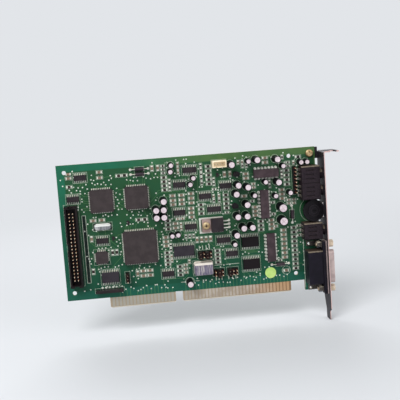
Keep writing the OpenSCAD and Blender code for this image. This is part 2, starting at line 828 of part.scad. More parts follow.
hex_h = 5;
hex_tap_d = 2.4;
hex_tap_l = 5.5;
hex_tip = 0.6;
hex_shank_l = bracket_t + port_flange_t + port_rear_t + port_lock_t + port_nut_h + hex_tip;
module game_port_screws() {
    color("gold")
        for (side = [-1, 1])
            at_port(plate_x + bracket_t)
                translate([0, 0, side * port_screw_pitch / 2])
                    rotate([0, 90, 0])
                        difference() {
                            union() {
                                cylinder(d = hex_af / cos(30), h = hex_h, $fn = 6);
                                translate([0, 0, -hex_shank_l])
                                    cylinder(d = port_thread_d, h = hex_shank_l + cut);
                            }
                            translate([0, 0, hex_h - hex_tap_l])
                                cylinder(d = hex_tap_d, h = hex_tap_l + cut);
                        }
}

// An angle strap behind each end of the flange, its nut, and the eyelet that holds it to the board
module port_board_lock() {
    lock_x = port_rear_x - port_lock_t;
    difference() {
        union() {
            translate([lock_x, port_axis_y - port_strap_rise, -port_foot_w / 2])
                cube([port_lock_t, port_rise + port_strap_rise, port_foot_w]);
            translate([lock_x - port_foot_l, face_y - port_lock_t, -port_foot_w / 2])
                cube([port_foot_l, port_lock_t, port_foot_w]);
        }
        translate([lock_x - cut, port_axis_y, 0])
            rotate([0, 90, 0])
                cylinder(d = port_thread_d + 2 * screw_gap, h = port_lock_t + 2 * cut);
        translate([port_foot_x, face_y + cut, 0])
            rotate([90, 0, 0])
                cylinder(d = port_eyelet_d, h = port_lock_t + 2 * cut);
    }
    translate([lock_x - port_nut_h, port_axis_y, 0])
        rotate([0, 90, 0])
            difference() {
                cylinder(d = hex_af / cos(30), h = port_nut_h, $fn = 6);
                translate([0, 0, -cut])
                    cylinder(d = port_thread_d, h = port_nut_h + 2 * cut);
            }
    translate([port_foot_x, back_y + port_eyelet_lip, 0])
        rotate([90, 0, 0])
            difference() {
                union() {
                    cylinder(d = port_eyelet_d, h = board_t + port_lock_t + 2 * port_eyelet_lip);
                    translate([0, 0, board_t + port_lock_t + port_eyelet_lip])
                        cylinder(d = port_eyelet_lip_d, h = port_eyelet_lip);
                }
                translate([0, 0, -cut])
                    cylinder(d = port_eyelet_d - 2 * port_eyelet_t, h = board_t + port_lock_t + 3 * port_eyelet_lip);
            }
}

module game_port_board_locks() {
    color("silver")
        for (side = [-1, 1])
            translate([0, 0, port_z + side * port_screw_pitch / 2])
                port_board_lock();
}

// Drive header
drive_x = -154.3;
drive_z = 40.3;
drive_l = (drive_pin_pairs - 1) * contact_pitch + 2 * drive_end;
drive_floor = 2.4;
drive_end_wall = 1.5;
drive_key_w = 4.5;
drive_pin_h = 8.4;
function profile_with_tip(w, h, tip) = [
    [-w / 2, 0], [w / 2, 0], [w / 2, h - tip], [w / 6, h], [-w / 6, h], [-w / 2, h - tip]
];

// A square pin that stands on the board and narrows at its tip
module square_pin(h, tip = 0.6) {
    intersection() {
        rotate([90, 0, 0])
            linear_extrude(pin_w, center = true)
                polygon(profile_with_tip(pin_w, h, tip));
        rotate([90, 0, 90])
            linear_extrude(pin_w, center = true)
                polygon(profile_with_tip(pin_w, h, tip));
    }
}

module pin_grid(columns, rows) {
    for (i = [0 : columns - 1], j = [0 : rows - 1])
        translate([
            (i - (columns - 1) / 2) * contact_pitch,
            (j - (rows - 1) / 2) * contact_pitch,
            0
        ])
            children();
}

module pin_holes(columns, rows, h) {
    pin_grid(columns, rows)
        translate([-pin_w / 2, -pin_w / 2, -cut])
            cube([pin_w, pin_w, h + 2 * cut]);
}

module drive_header_housing() {
    color("dimgray")
        on_face([drive_x, drive_z])
            difference() {
                translate([-drive_w / 2, -drive_l / 2, 0])
                    cube([drive_w, drive_l, drive_h]);
                translate([-drive_w / 2 + drive_wall, -drive_l / 2 + drive_end_wall, drive_floor])
                    cube([drive_w - 2 * drive_wall, drive_l - 2 * drive_end_wall, drive_h]);
                translate([-drive_w / 2 - cut, -drive_key_w / 2, drive_floor])
                    cube([drive_wall + 2 * cut, drive_key_w, drive_h]);
                for (end = [-1, 1])
                    translate([-1.6, end * (drive_l / 2 - 0.5) - 0.5 - cut / 2, drive_h / 2])
                        cube([3.2, 1 + cut, drive_h]);
                pin_holes(2, drive_pin_pairs, drive_floor);
            }
}

module drive_header_pins() {
    color("gold")
        on_face([drive_x, drive_z])
            pin_grid(2, drive_pin_pairs)
                square_pin(drive_pin_h);
}

// Chip packages
function drafted(l, h, draft, band) = [
    [-l / 2 + draft, 0], [l / 2 - draft, 0], [l / 2, h / 2 - band / 2], [l / 2, h / 2 + band / 2],
    [l / 2 - draft, h], [-l / 2 + draft, h], [-l / 2, h / 2 + band / 2], [-l / 2, h / 2 - band / 2]
];

// A moulding whose sides draw in above and below its leads
module moulding(l, w, h, draft, band) {
    intersection() {
        rotate([90, 0, 0])
            linear_extrude(w, center = true)
                polygon(drafted(l, h, draft, band));
        rotate([90, 0, 90])
            linear_extrude(l, center = true)
                polygon(drafted(w, h, draft, band));
    }
}

// A row of leads along X, with their root at y = 0 and pointing at +Y
module lead_row(count, pitch, w, profile) {
    for (i = [0 : count - 1])
        translate([(i - (count - 1) / 2) * pitch, 0, 0])
            rotate([90, 0, 90])
                linear_extrude(w, center = true)
                    polygon(profile);
}

lead_t = 0.25;
j_pitch = 1.27;
j_lead_w = 0.55;
j_reach = 0.5;
j_height = plcc_lift + plcc_h / 2;
plcc_draft = 0.25;
plcc_corner = 1.1;
dimple_depth = 0.15;
j_profile = [
    [0, j_height - lead_t / 2], [0, j_height + lead_t / 2], [j_reach - 0.1, j_height + lead_t / 2],
    [j_reach, j_height], [j_reach, 0.5], [j_reach - 0.35, 0], [-0.35, 0], [-0.5, 0.25],
    [-0.2, 0.25], [j_reach - 0.45, 0.25], [j_reach - lead_t, 0.6], [j_reach - lead_t, j_height - lead_t / 2]
];
function plcc_body(per_side) = (per_side - 1) * j_pitch + 3.86;

module plcc_moulding(per_side, dimple_d) {
    size = plcc_body(per_side);
    translate([0, 0, plcc_lift])
        difference() {
            moulding(size, size, plcc_h, plcc_draft, lead_t);
            translate([-size / 2, size / 2, plcc_h / 2])
                rotate([0, 0, 45])
                    cube([plcc_corner * sqrt(2), plcc_corner * sqrt(2), plcc_h + 2 * cut], center = true);
            translate([0, size / 2 - 2.6, plcc_h - dimple_depth])
                cylinder(d = dimple_d, h = dimple_depth + cut);
        }
}

module plcc_leads(per_side) {
    for (turn = [0, 90, 180, 270])
        rotate([0, 0, turn])
            translate([0, plcc_body(per_side) / 2, 0])
                lead_row(per_side, j_pitch, j_lead_w, j_profile);
}

module large_j_lead_chip() {
    color("dimgray")
        on_face(large_plcc)
            plcc_moulding(17, 1.8);
}

module medium_j_lead_chips() {
    color("dimgray")
        each_place(medium_plccs)
            plcc_moulding(11, 1.5);
}

module small_j_lead_chip() {
    color("dimgray")
        on_face(small_plcc)
            plcc_moulding(5, 1.1);
}

module j_leads() {
    color("lightgray") {
        on_face(large_plcc)
            plcc_leads(17);
        each_place(medium_plccs)
            plcc_leads(11);
        on_face(small_plcc)
            plcc_leads(5);
    }
}

flat_pitch = 1.27;
flat_lead_w = 0.42;
flat_end = 1.03;
narrow_reach = 1.05;
wide_reach = 1.4;
flat_draft = 0.15;
function gull_profile(reach, root_z) = [
    [0, root_z - lead_t / 2], [0, root_z + lead_t / 2], [reach * 0.35, root_z + lead_t / 2],
    [reach * 0.35 + 0.2, lead_t], [reach, lead_t], [reach, 0], [reach * 0.35, 0],
    [reach * 0.35 - 0.15, root_z - lead_t / 2]
];
function flat_length(per_side) = (per_side - 1) * flat_pitch + flat_end;

module flat_moulding(per_side, w, h) {
    length = flat_length(per_side);
    translate([0, 0, flat_lift])
        difference() {
            moulding(length, w, h, flat_draft, lead_t);
            translate([-length / 2 + 1, -w / 2 + 0.9, h - dimple_depth])
                cylinder(d = 0.8, h = dimple_depth + cut, $fn = 24);
        }
}

module flat_leads(per_side, w, h, reach) {
    for (turn = [0, 180])
        rotate([0, 0, turn])
            translate([0, w / 2, 0])
                lead_row(per_side, flat_pitch, flat_lead_w, gull_profile(reach, flat_lift + h / 2));
}

module narrow_flat_chips() {
    color("dimgray") {
        each_place(narrow_14s)
            flat_moulding(7, narrow_w, narrow_h);
        each_place(narrow_16s)
            flat_moulding(8, narrow_w, narrow_h);
    }
}

module wide_flat_chips() {
    color("dimgray") {
        each_place(wide_20s)
            flat_moulding(10, wide_w, wide_h);
        each_place(wide_24s)
            flat_moulding(12, wide_w, wide_h);
    }
}

module narrow_chip_leads() {
    color("lightgray") {
        each_place(narrow_14s)
            flat_leads(7, narrow_w, narrow_h, narrow_reach);
        each_place(narrow_16s)
            flat_leads(8, narrow_w, narrow_h, narrow_reach);
    }
}

module wide_chip_leads() {
    color("lightgray") {
        each_place(wide_20s)
            flat_leads(10, wide_w, wide_h, wide_reach);
        each_place(wide_24s)
            flat_leads(12, wide_w, wide_h, wide_reach);
    }
}

dip_draft = 0.3;
dip_end = 3.6;
dip_row = 7.62;
dip_root_z = dip_lift + dip_h / 2;
dip_shoulder_z = 1;
dip_wide = 1.4;
dip_narrow = 0.5;
function dip_length(per_side) = (per_side - 1) * contact_pitch + dip_end;

module dip_moulding(per_side) {
    length = dip_length(per_side);
    translate([0, 0, dip_lift])
        difference() {
            moulding(length, dip_w, dip_h, dip_draft, lead_t);
            translate([-length / 2, 0, dip_h - 0.7])
                cylinder(d = 1.8, h = 0.7 + cut);
        }
}

module dip_leads(per_side) {
    out = (dip_row - dip_w) / 2 + lead_t / 2;
    shoulder = [
        [0, dip_root_z - lead_t / 2], [0, dip_root_z + lead_t / 2], [out - 0.15, dip_root_z + lead_t / 2],
        [out, dip_root_z], [out, dip_shoulder_z], [out - lead_t, dip_shoulder_z],
        [out - lead_t, dip_root_z - lead_t / 2]
    ];
    for (turn = [0, 180])
        rotate([0, 0, turn])
            translate([0, dip_w / 2, 0]) {
                lead_row(per_side, contact_pitch, dip_wide, shoulder);
                for (i = [0 : per_side - 1])
                    translate([
                        (i - (per_side - 1) / 2) * contact_pitch - dip_narrow / 2,
                        out - lead_t,
                        0
                    ])
                        cube([dip_narrow, lead_t, dip_shoulder_z + cut]);
            }
}

module in_line_chips() {
    color("dimgray") {
        on_face(in_line_14)
            dip_moulding(7);
        each_place(in_line_16s, 90)
            dip_moulding(8);
    }
}

module in_line_chip_leads() {
    color("lightgray") {
        on_face(in_line_14)
            dip_leads(7);
        each_place(in_line_16s, 90)
            dip_leads(8);
    }
}

// Regulator
reg_w = 10;
reg_body_l = 9.2;
reg_body_h = 4.4;
reg_tab_l = 6.6;
reg_tab_t = 1.3;
reg_hole_d = 3.7;
reg_hole_in = 3;
reg_pitch = 2.54;
reg_lead_w = 0.8;
reg_lead_t = 0.5;
reg_lead_z = 2.5;
reg_lead_l = 4.6;

module regulator_tab() {
    color("silver")
        on_face(regulator)
            difference() {
                translate([-reg_tab_l, -reg_w / 2, 0])
                    cube([reg_tab_l + reg_body_l - 1, reg_w, reg_tab_t]);
                translate([-reg_tab_l + reg_hole_in, 0, -cut])
                    cylinder(d = reg_hole_d, h = reg_tab_t + 2 * cut);
                for (side = [-1, 1])
                    translate([0, side * reg_w / 2, -cut])
                        cylinder(d = 1.6, h = reg_tab_t + 2 * cut);
            }
}

module regulator_body() {
    color("dimgray")
        on_face(regulator)
            difference() {
                rotate([90, 0, 0])
                    linear_extrude(reg_w, center = true)
                        polygon([
                            [0, reg_tab_t], [0.5, reg_body_h], [reg_body_l - 0.4, reg_body_h],
                            [reg_body_l, reg_lead_z], [reg_body_l, 0.1], [reg_body_l - 1, 0.1],
                            [reg_body_l - 1, reg_tab_t]
                        ]);
                for (step = [-1, 0, 1])
                    translate([reg_body_l / 2 + 0.4, step * 2.6 - 0.5, reg_body_h - 0.2])
                        cube([2.4, 1, 0.2 + cut]);
            }
}

module regulator_leads() {
    color("lightgray")
        on_face(regulator)
            for (step = [-1, 0, 1])
                translate([reg_body_l, step * reg_pitch, 0])
                    rotate([90, 0, 0])
                        linear_extrude(reg_lead_w, center = true)
                            polygon([
                                [0, 1.4], [0, 1.4 + reg_lead_t], [reg_lead_l - 0.4, 1.4 + reg_lead_t],
                                [reg_lead_l, 1.4 + reg_lead_t - 0.4], [reg_lead_l, 0],
                                [reg_lead_l - reg_lead_t, 0], [reg_lead_l - reg_lead_t, 1.4]
                            ]);
}

module regulator_screw() {
    color("gold")
        on_face(regulator)
            translate([-reg_tab_l + reg_hole_in, 0, reg_tab_t])
                pan_screw(screw_head_d, screw_head_h, reg_hole_d - 0.7, reg_tab_t);
}

// Crystal and oscillator
crystal_l = 11.2;
crystal_w = 4.7;
crystal_h = 3.6;
crystal_base_h = 0.6;
crystal_brim = 0.45;
crystal_brim_h = 0.4;
crystal_base_end = 0.7;
module stadium(l, w) {
    square([l - w, w], center = true);
    for (side = [-1, 1])
        translate([side * (l - w) / 2, 0])
            circle(d = w);
}

module crystal_can() {
    color("silver")
        on_face(crystal)
            translate([0, 0, crystal_base_h]) {
                linear_extrude(crystal_brim_h)
                    stadium(crystal_l + 2 * crystal_brim, crystal_w);
                linear_extrude(crystal_h)
                    stadium(crystal_l, crystal_w - 2 * crystal_brim);
            }
}

module crystal_base() {
    color("dimgray")
        on_face(crystal)
            translate([-crystal_l / 2 - crystal_base_end, -crystal_w / 2, 0])
                cube([crystal_l + 2 * crystal_base_end, crystal_w, crystal_base_h]);
}

osc_l = 13;
osc_w = 9;
osc_h = 5.4;
osc_corner_r = 1;
osc_flange = 0.5;
module rounded_plan(l, w, r) {
    square([l - 2 * r, w], center = true);
    square([l, w - 2 * r], center = true);
    for (sx = [-1, 1], sy = [-1, 1])
        translate([sx * (l / 2 - r), sy * (w / 2 - r)])
            circle(r);
}

module oscillator_can() {
    color("silver")
        on_face(oscillator) {
            linear_extrude(0.5)
                rounded_plan(osc_l + 2 * osc_flange, osc_w + 2 * osc_flange, osc_corner_r + osc_flange);
            linear_extrude(osc_h)
                rounded_plan(osc_l, osc_w, osc_corner_r);
        }
}

// Electrolytic capacitors
module sleeve(d, h) {
    rotate_extrude()
        polygon([
            [d / 2 - sleeve_t, 0], [d / 2, 0], [d / 2, h - 0.15], [d / 2 - 0.15, h],
            [d / 2 - sleeve_lip, h], [d / 2 - sleeve_lip, h - sleeve_t], [d / 2 - sleeve_t, h - sleeve_t]
        ]);
}

// A can whose top is pressed with crossed lines where its scored is set
module can(d, h, scored = false) {
    difference() {
        rotate_extrude()
            polygon([
                [0, 0], [d / 2 - sleeve_t, 0], [d / 2 - sleeve_t, h - sleeve_t],
                [d / 2 - sleeve_lip, h - sleeve_t], [d / 2 - sleeve_lip, h - 0.1], [0, h - 0.1]
            ]);
        if (scored)
            for (turn = [45, 135])
                rotate([0, 0, turn])
                    translate([-d * 0.36, -0.12, h - 0.25])
                        cube([d * 0.72, 0.24, 0.25]);
    }
}

module small_capacitor_sleeves() {
    color("darkslategray")
        each_place(small_caps)
            sleeve(small_cap_d, small_cap_h);
}

module small_capacitor_cans() {
    color("gainsboro")
        each_place(small_caps)
            can(small_cap_d, small_cap_h);
}

module medium_capacitor_sleeves() {
    color("darkslategray")
        each_place(medium_caps)
            sleeve(medium_cap_d, tall_cap_h);
}

module medium_capacitor_cans() {
    color("gainsboro")
        each_place(medium_caps)
            can(medium_cap_d, tall_cap_h);
}

module large_capacitor_sleeves() {
    color("darkslategray")
        each_place(large_caps)
            sleeve(large_cap_d, tall_cap_h);
}

module large_capacitor_cans() {
    color("gainsboro")
        each_place(large_caps)
            can(large_cap_d, tall_cap_h, scored = true);
}

// Axial parts and transistors
axial_d = 2.6;
axial_l = 6.2;
axial_lead_d = 0.6;
axial_span = 12.7;
module axial_part_bodies() {
    color("dimgray")
        for (part = axial_parts)
            on_face(part, part[2])
                translate([-axial_l / 2, 0, axial_d / 2])
                    rotate([0, 90, 0])
                        cylinder(d = axial_d, h = axial_l);
}

module axial_part_leads() {
    color("lightgray")
        for (part = axial_parts, side = [0, 1])
            on_face(part, part[2])
                mirror([side, 0, 0]) {
                    translate([axial_l / 2, 0, axial_d / 2])
                        rotate([0, 90, 0])
                            cylinder(d = axial_lead_d, h = (axial_span - axial_l) / 2, $fn = 24);
                    translate([axial_span / 2, 0, 0])
                        cylinder(d = axial_lead_d, h = axial_d / 2 + axial_lead_d / 2, $fn = 24);
                }
}

transistor_d = 4.6;
transistor_h = 4.6;
transistor_lift = 1.6;
transistor_flat = 0.9;
transistor_pitch = 1.27;
transistor_lead_w = 0.5;
module transistor_bodies() {
    color("dimgray")
        each_place(transistors) {
            translate([0, 0, transistor_lift])
                intersection() {
                    cylinder(d = transistor_d, h = transistor_h);
                    translate([-transistor_d / 2, -transistor_d / 2 + transistor_flat, 0])
                        cube([transistor_d, transistor_d, transistor_h]);
                }
            for (step = [-1, 0, 1])
                translate([step * transistor_pitch - transistor_lead_w / 2, -transistor_lead_w / 2, 0])
                    cube([transistor_lead_w, transistor_lead_w, transistor_lift]);
        }
}

network_pins = 8;
network_h = 4.6;
network_w = 2.2;
network_lift = 0.7;
network_pin_w = 0.5;
network_pin_t = 0.3;
network_trim = 0.4;
module resistor_network() {
    color("dimgray")
        on_face(network) {
            length = network_pins * contact_pitch - network_trim;
            translate([-length / 2, -network_w / 2, network_lift])
                cube([length, network_w, network_h]);
            for (i = [0 : network_pins - 1])
                translate([
                    (i - (network_pins - 1) / 2) * contact_pitch - network_pin_w / 2,
                    -network_pin_t / 2,
                    0
                ])
                    cube([network_pin_w, network_pin_t, network_lift]);
        }
}

// Chip resistors, capacitors and transistors
module each_chip(rows) {
    for (row = rows, i = [0 : row[2] - 1])
        on_face([row[0] + i * row[3], row[1] + i * row[4]], row[5])
            children();
}

// A chip's length, width, height and the length of the metal on each end
function resistor_chip() = [chip_l, chip_w, chip_h, chip_end];
function capacitor_chip() = [chip_l, chip_w, chip_h + capacitor_rise, chip_end];
function small_resistor_chip() = [small_chip_l, small_chip_w, small_chip_h, small_chip_end];
function small_capacitor_chip() = [small_chip_l, small_chip_w, small_chip_h + capacitor_rise, small_chip_end];

module chip_body(chip) {
    translate([-chip[0] / 2 + chip[3], -chip[1] / 2, 0])
        cube([chip[0] - 2 * chip[3], chip[1], chip[2]]);
}

module chip_end_pair(chip) {
    for (side = [0, 1])
        mirror([side, 0, 0])
            translate([chip[0] / 2 - chip[3], -chip[1] / 2, 0])
                cube([chip[3], chip[1], chip[2]]);
}

module chip_resistors() {
    color("dimgray") {
        each_chip(resistor_rows)
            chip_body(resistor_chip());
        each_chip(small_resistor_rows)
            chip_body(small_resistor_chip());
    }
}

module chip_capacitors() {
    color("tan") {
        each_chip(capacitor_rows)
            chip_body(capacitor_chip());
        each_chip(small_capacitor_rows)
            chip_body(small_capacitor_chip());
    }
}

module chip_ends() {
    color("gainsboro") {
        each_chip(resistor_rows)
            chip_end_pair(resistor_chip());
        each_chip(capacitor_rows)
            chip_end_pair(capacitor_chip());
        each_chip(small_resistor_rows)
            chip_end_pair(small_resistor_chip());
        each_chip(small_capacitor_rows)
            chip_end_pair(small_capacitor_chip());
    }
}

sot_l = 2.9;
sot_w = 1.4;
sot_h = 1;
sot_lift = 0.1;
sot_draft = 0.1;
sot_pitch = 1.9;
sot_lead_w = 0.4;
sot_lead_l = 0.6;
sot_lead_h = 0.7;
module small_outline_transistors() {
    color("dimgray")
        each_place(small_outline, 90) {
            translate([0, 0, sot_lift])
                moulding(sot_l, sot_w, sot_h, sot_draft, lead_t);
            for (side = [-1, 1])
                translate([side * sot_pitch / 2 - sot_lead_w / 2, sot_w / 2, 0])
                    cube([sot_lead_w, sot_lead_l, sot_lead_h]);
            translate([-sot_lead_w / 2, -sot_w / 2 - sot_lead_l, 0])
                cube([sot_lead_w, sot_lead_l, sot_lead_h]);
        }
}

// Pin headers and jumpers
base_t = 2.5;
post_h = 8.2;
module header_base(columns, rows) {
    difference() {
        translate([-columns * contact_pitch / 2, -rows * contact_pitch / 2, 0])
            cube([columns * contact_pitch, rows * contact_pitch, base_t]);
        pin_holes(columns, rows, base_t);
    }
}

module header_bases() {
    color("dimgray") {
        for (block = jumper_blocks)
            on_face(block)
                header_base(block[2], 2);
        on_face(jumper_pair)
            header_base(1, 3);
        on_face(header_strip)
            header_base(1, 8);
    }
}

module header_pins() {
    color("gold") {
        for (block = jumper_blocks)
            on_face(block)
                pin_grid(block[2], 2)
                    square_pin(post_h);
        on_face(jumper_pair)
            pin_grid(1, 3)
                square_pin(post_h);
        on_face(header_strip)
            pin_grid(1, 8)
                square_pin(post_h);
    }
}

shunt_h = 6;
shunt_w = 2.3;
// Each shunt bridges the two rows at one column, counted from the block's middle
shunts = [[0, -1.5], [0, 0.5], [1, 0], [2, -1]];
module jumper_shunts() {
    color("dimgray") {
        for (shunt = shunts)
            on_face(jumper_blocks[shunt[0]])
                translate([shunt[1] * contact_pitch, 0, base_t])
                    shunt_block();
        on_face(jumper_pair)
            translate([0, contact_pitch / 2, base_t])
                shunt_block();
    }
}

module shunt_block() {
    difference() {
        translate([-shunt_w / 2, -contact_pitch, 0])
            cube([shunt_w, 2 * contact_pitch, shunt_h]);
        pin_holes(1, 2, shunt_h);
    }
}

// Audio connector
audio_l = 10.2;
audio_w = 5;
audio_h = 6.4;
audio_wall = 0.8;
audio_floor = 1.4;
audio_pins = 4;
audio_pitch = 2;
module audio_connector_housing() {
    color("ivory")
        on_face(audio_connector)
            difference() {
                translate([-audio_l / 2, -audio_w / 2, 0])
                    cube([audio_l, audio_w, audio_h]);
                translate([-audio_l / 2 + audio_wall, -audio_w / 2 + audio_wall, audio_floor])
                    cube([audio_l - 2 * audio_wall, audio_w - 2 * audio_wall, audio_h]);
                for (side = [-1, 1])
                    translate([side * 2.2 - 0.7, -audio_w / 2 - cut, audio_h / 2])
                        cube([1.4, audio_wall + 2 * cut, audio_h]);
                for (i = [0 : audio_pins - 1])
                    translate([(i - (audio_pins - 1) / 2) * audio_pitch - pin_w / 2, -pin_w / 2, -cut])
                        cube([pin_w, pin_w, audio_floor + 2 * cut]);
            }
}

module audio_connector_pins() {
    color("gainsboro")
        on_face(audio_connector)
            for (i = [0 : audio_pins - 1])
                translate([(i - (audio_pins - 1) / 2) * audio_pitch, 0, 0])
                    square_pin(audio_h - 1.2);
}

module inspection_sticker() {
    color("greenyellow")
        on_face(sticker)
            cylinder(d = 8.2, h = 0.15);
}

// Solder joints on the back, one behind every lead that goes through the board
joint_d = 1.7;
joint_tip_d = 0.7;
joint_h = 1;
module joint() {
    translate([0, 0, -board_t - joint_h])
        cylinder(d1 = joint_tip_d, d2 = joint_d, h = joint_h, $fn = 24);
}

module joint_pair(spacing) {
    for (side = [-1, 1])
        translate([side * spacing / 2, 0, 0])
            joint();
}

module solder_joints() {
    color("lightgray") {
        on_face([drive_x, drive_z])
            pin_grid(2, drive_pin_pairs)
                joint();
        for (block = jumper_blocks)
            on_face(block)
                pin_grid(block[2], 2)
                    joint();
        on_face(jumper_pair)
            pin_grid(1, 3)
                joint();
        on_face(header_strip)
            pin_grid(1, 8)
                joint();
        on_face(in_line_14)
            in_line_joints(7);
        each_place(in_line_16s, 90)
            in_line_joints(8);
        each_place(small_caps)
            joint_pair(2);
        each_place(medium_caps)
            joint_pair(2);
        each_place(large_caps)
            joint_pair(2.5);
        for (part = axial_parts)
            on_face(part, part[2])
                joint_pair(axial_span);
        on_face(network)
            for (i = [0 : network_pins - 1])
                translate([(i - (network_pins - 1) / 2) * contact_pitch, 0, 0])
                    joint();
        on_face(regulator)
            for (step = [-1, 0, 1])
                translate([reg_body_l + reg_lead_l - reg_lead_t / 2, step * reg_pitch, 0])
                    joint();
        on_face(audio_connector)
            for (i = [0 : audio_pins - 1])
                translate([(i - (audio_pins - 1) / 2) * audio_pitch, 0, 0])
                    joint();
        for (socket = port_sockets)
            on_face([
                port_body_back_x - first_contact_x + port_first_row + socket[0],
                port_z - tab_h + socket[1]
            ])
                joint();
        for (z = jack_centres, step = [-1, 0, 1])
            on_face([jack_back_x - terminal_t / 2 - first_contact_x, z - tab_h + step * terminal_pitch])
                joint();
        for (side = [-1, 1], step = [-1, 0, 1])
            on_face([
                volume_x - first_contact_x + step * control_pitch,
                volume_z - tab_h + side * (base_w + control_pin_t) / 2
            ])
                joint();
    }
}

module in_line_joints(per_side) {
    for (side = [-1, 1], i = [0 : per_side - 1])
        translate([(i - (per_side - 1) / 2) * contact_pitch, side * dip_row / 2, 0])
            joint();
}

circuit_board();
main_bus_contacts();
extension_bus_contacts();
mounting_bracket();
bracket_screw();
twin_jack_housing();
speaker_jack_housing();
jack_terminals();
volume_wheel();
volume_shaft();
volume_control_base();
volume_control_terminals();
game_port_housing();
game_port_shell();
game_port_sockets();
game_port_screws();
game_port_board_locks();
drive_header_housing();
drive_header_pins();
large_j_lead_chip();
medium_j_lead_chips();
small_j_lead_chip();
j_leads();
narrow_flat_chips();
wide_flat_chips();
narrow_chip_leads();
wide_chip_leads();
in_line_chips();
in_line_chip_leads();
regulator_body();
regulator_tab();
regulator_leads();
regulator_screw();
crystal_can();
crystal_base();
oscillator_can();
small_capacitor_sleeves();
small_capacitor_cans();
medium_capacitor_sleeves();
medium_capacitor_cans();
large_capacitor_sleeves();
large_capacitor_cans();
axial_part_bodies();
axial_part_leads();
transistor_bodies();
resistor_network();
chip_resistors();
chip_capacitors();
chip_ends();
small_outline_transistors();
header_bases();
header_pins();
jumper_shunts();
audio_connector_housing();
audio_connector_pins();
inspection_sticker();
solder_joints();
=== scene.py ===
"""Dresses an upright sound card, adds its copper, ink and solder, and lights it for its portrait.

Lengths are millimetres in the card's own frame until a mesh is built, which is in metres. The board stands
in the XZ plane: its component face looks along -Y and its solder face along +Y.
"""

from __future__ import annotations

import functools
import heapq
import logging
import math
import random
from dataclasses import dataclass, field, replace
from enum import Enum
from typing import Callable, Iterable, Optional, Sequence, Union

import bmesh
import bpy
import numpy as np
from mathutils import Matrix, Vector


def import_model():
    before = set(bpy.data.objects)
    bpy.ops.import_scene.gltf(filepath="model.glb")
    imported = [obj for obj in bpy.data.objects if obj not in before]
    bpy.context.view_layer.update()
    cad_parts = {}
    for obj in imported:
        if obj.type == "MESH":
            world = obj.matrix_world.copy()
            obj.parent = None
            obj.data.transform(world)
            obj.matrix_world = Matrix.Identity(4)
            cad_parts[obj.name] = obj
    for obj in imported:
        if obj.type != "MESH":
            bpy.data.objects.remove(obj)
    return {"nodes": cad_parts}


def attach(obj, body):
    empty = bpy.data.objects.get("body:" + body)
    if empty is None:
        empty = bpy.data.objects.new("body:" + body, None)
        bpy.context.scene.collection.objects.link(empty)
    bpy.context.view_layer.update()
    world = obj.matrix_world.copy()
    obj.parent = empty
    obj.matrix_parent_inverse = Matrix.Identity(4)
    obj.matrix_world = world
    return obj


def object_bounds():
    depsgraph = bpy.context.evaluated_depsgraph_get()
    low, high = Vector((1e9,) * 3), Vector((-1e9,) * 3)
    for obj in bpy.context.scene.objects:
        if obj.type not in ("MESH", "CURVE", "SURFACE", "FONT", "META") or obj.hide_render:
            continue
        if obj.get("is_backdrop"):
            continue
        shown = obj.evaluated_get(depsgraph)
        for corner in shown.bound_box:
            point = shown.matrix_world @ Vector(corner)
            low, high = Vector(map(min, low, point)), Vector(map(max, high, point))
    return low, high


LOG = logging.getLogger("sound_card")
MM = 0.001
HALF_BOARD = 0.8
CARD = "card"
WHEEL = "wheel"

Colour = tuple[float, float, float, float]
Flat = tuple[float, float]
Point = tuple[float, float, float]


def shade(red: int, green: int, blue: int) -> Colour:
    """Turns a colour as a display shows it into the light that it stands for.

    Args:
        red: Red, from 0 to 255.
        green: Green, from 0 to 255.
        blue: Blue, from 0 to 255.

    Returns:
        The linear colour with an alpha of 1.
    """
    parts = [value / 255 for value in (red, green, blue)]
    light = [p / 12.92 if p <= 0.04045 else ((p + 0.055) / 1.055) ** 2.4 for p in parts]
    return (light[0], light[1], light[2], 1.0)


def math_operator(operation: str, swapped: bool = False) -> Callable[..., "Amount"]:
    """Makes an operator that adds one Math node.

    Args:
        operation: The node's operation.
        swapped: True where the other operand comes first.

    Returns:
        The operator, as a method of Amount.
    """

    def method(self: "Amount", other: "Number" = 0.0) -> "Amount":
        """Returns the node's result."""
        inputs = {0: other, 1: self} if swapped else {0: self, 1: other}
        node = self.tree.node("ShaderNodeMath", {"operation": operation}, inputs)
        return Amount(self.tree, node.outputs[0])

    return method


class Amount:
    """A number that varies over a surface. Its operators add the Math nodes that work it out."""

    __add__ = __radd__ = math_operator("ADD")
    __sub__ = math_operator("SUBTRACT")
    __rsub__ = math_operator("SUBTRACT", swapped=True)
    __mul__ = __rmul__ = math_operator("MULTIPLY")
    __pow__ = math_operator("POWER")
    __gt__ = math_operator("GREATER_THAN")
    __lt__ = math_operator("LESS_THAN")
    __abs__ = math_operator("ABSOLUTE")

    def __init__(self, tree: "Tree", socket: bpy.types.NodeSocket) -> None:
        """Wraps a socket of a node tree."""
        self.tree = tree
        self.socket = socket

    def rises(self, low: float, high: float) -> "Amount":
        """Climbs smoothly from 0 at low to 1 at high.

        Args:
            low: Where the climb starts.
            high: Where it ends.

        Returns:
            The climb, from 0 to 1.
        """
        limits = {"From Min": low, "From Max": high, "Value": self}
        node = self.tree.node("ShaderNodeMapRange", {"interpolation_type": "SMOOTHSTEP"}, limits)
        return Amount(self.tree, node.outputs[0])


Number = Union[Amount, float, int]
Feed = Union[Amount, float, int, Sequence[float], bpy.types.NodeSocket]
MIXED_COLOUR = 2


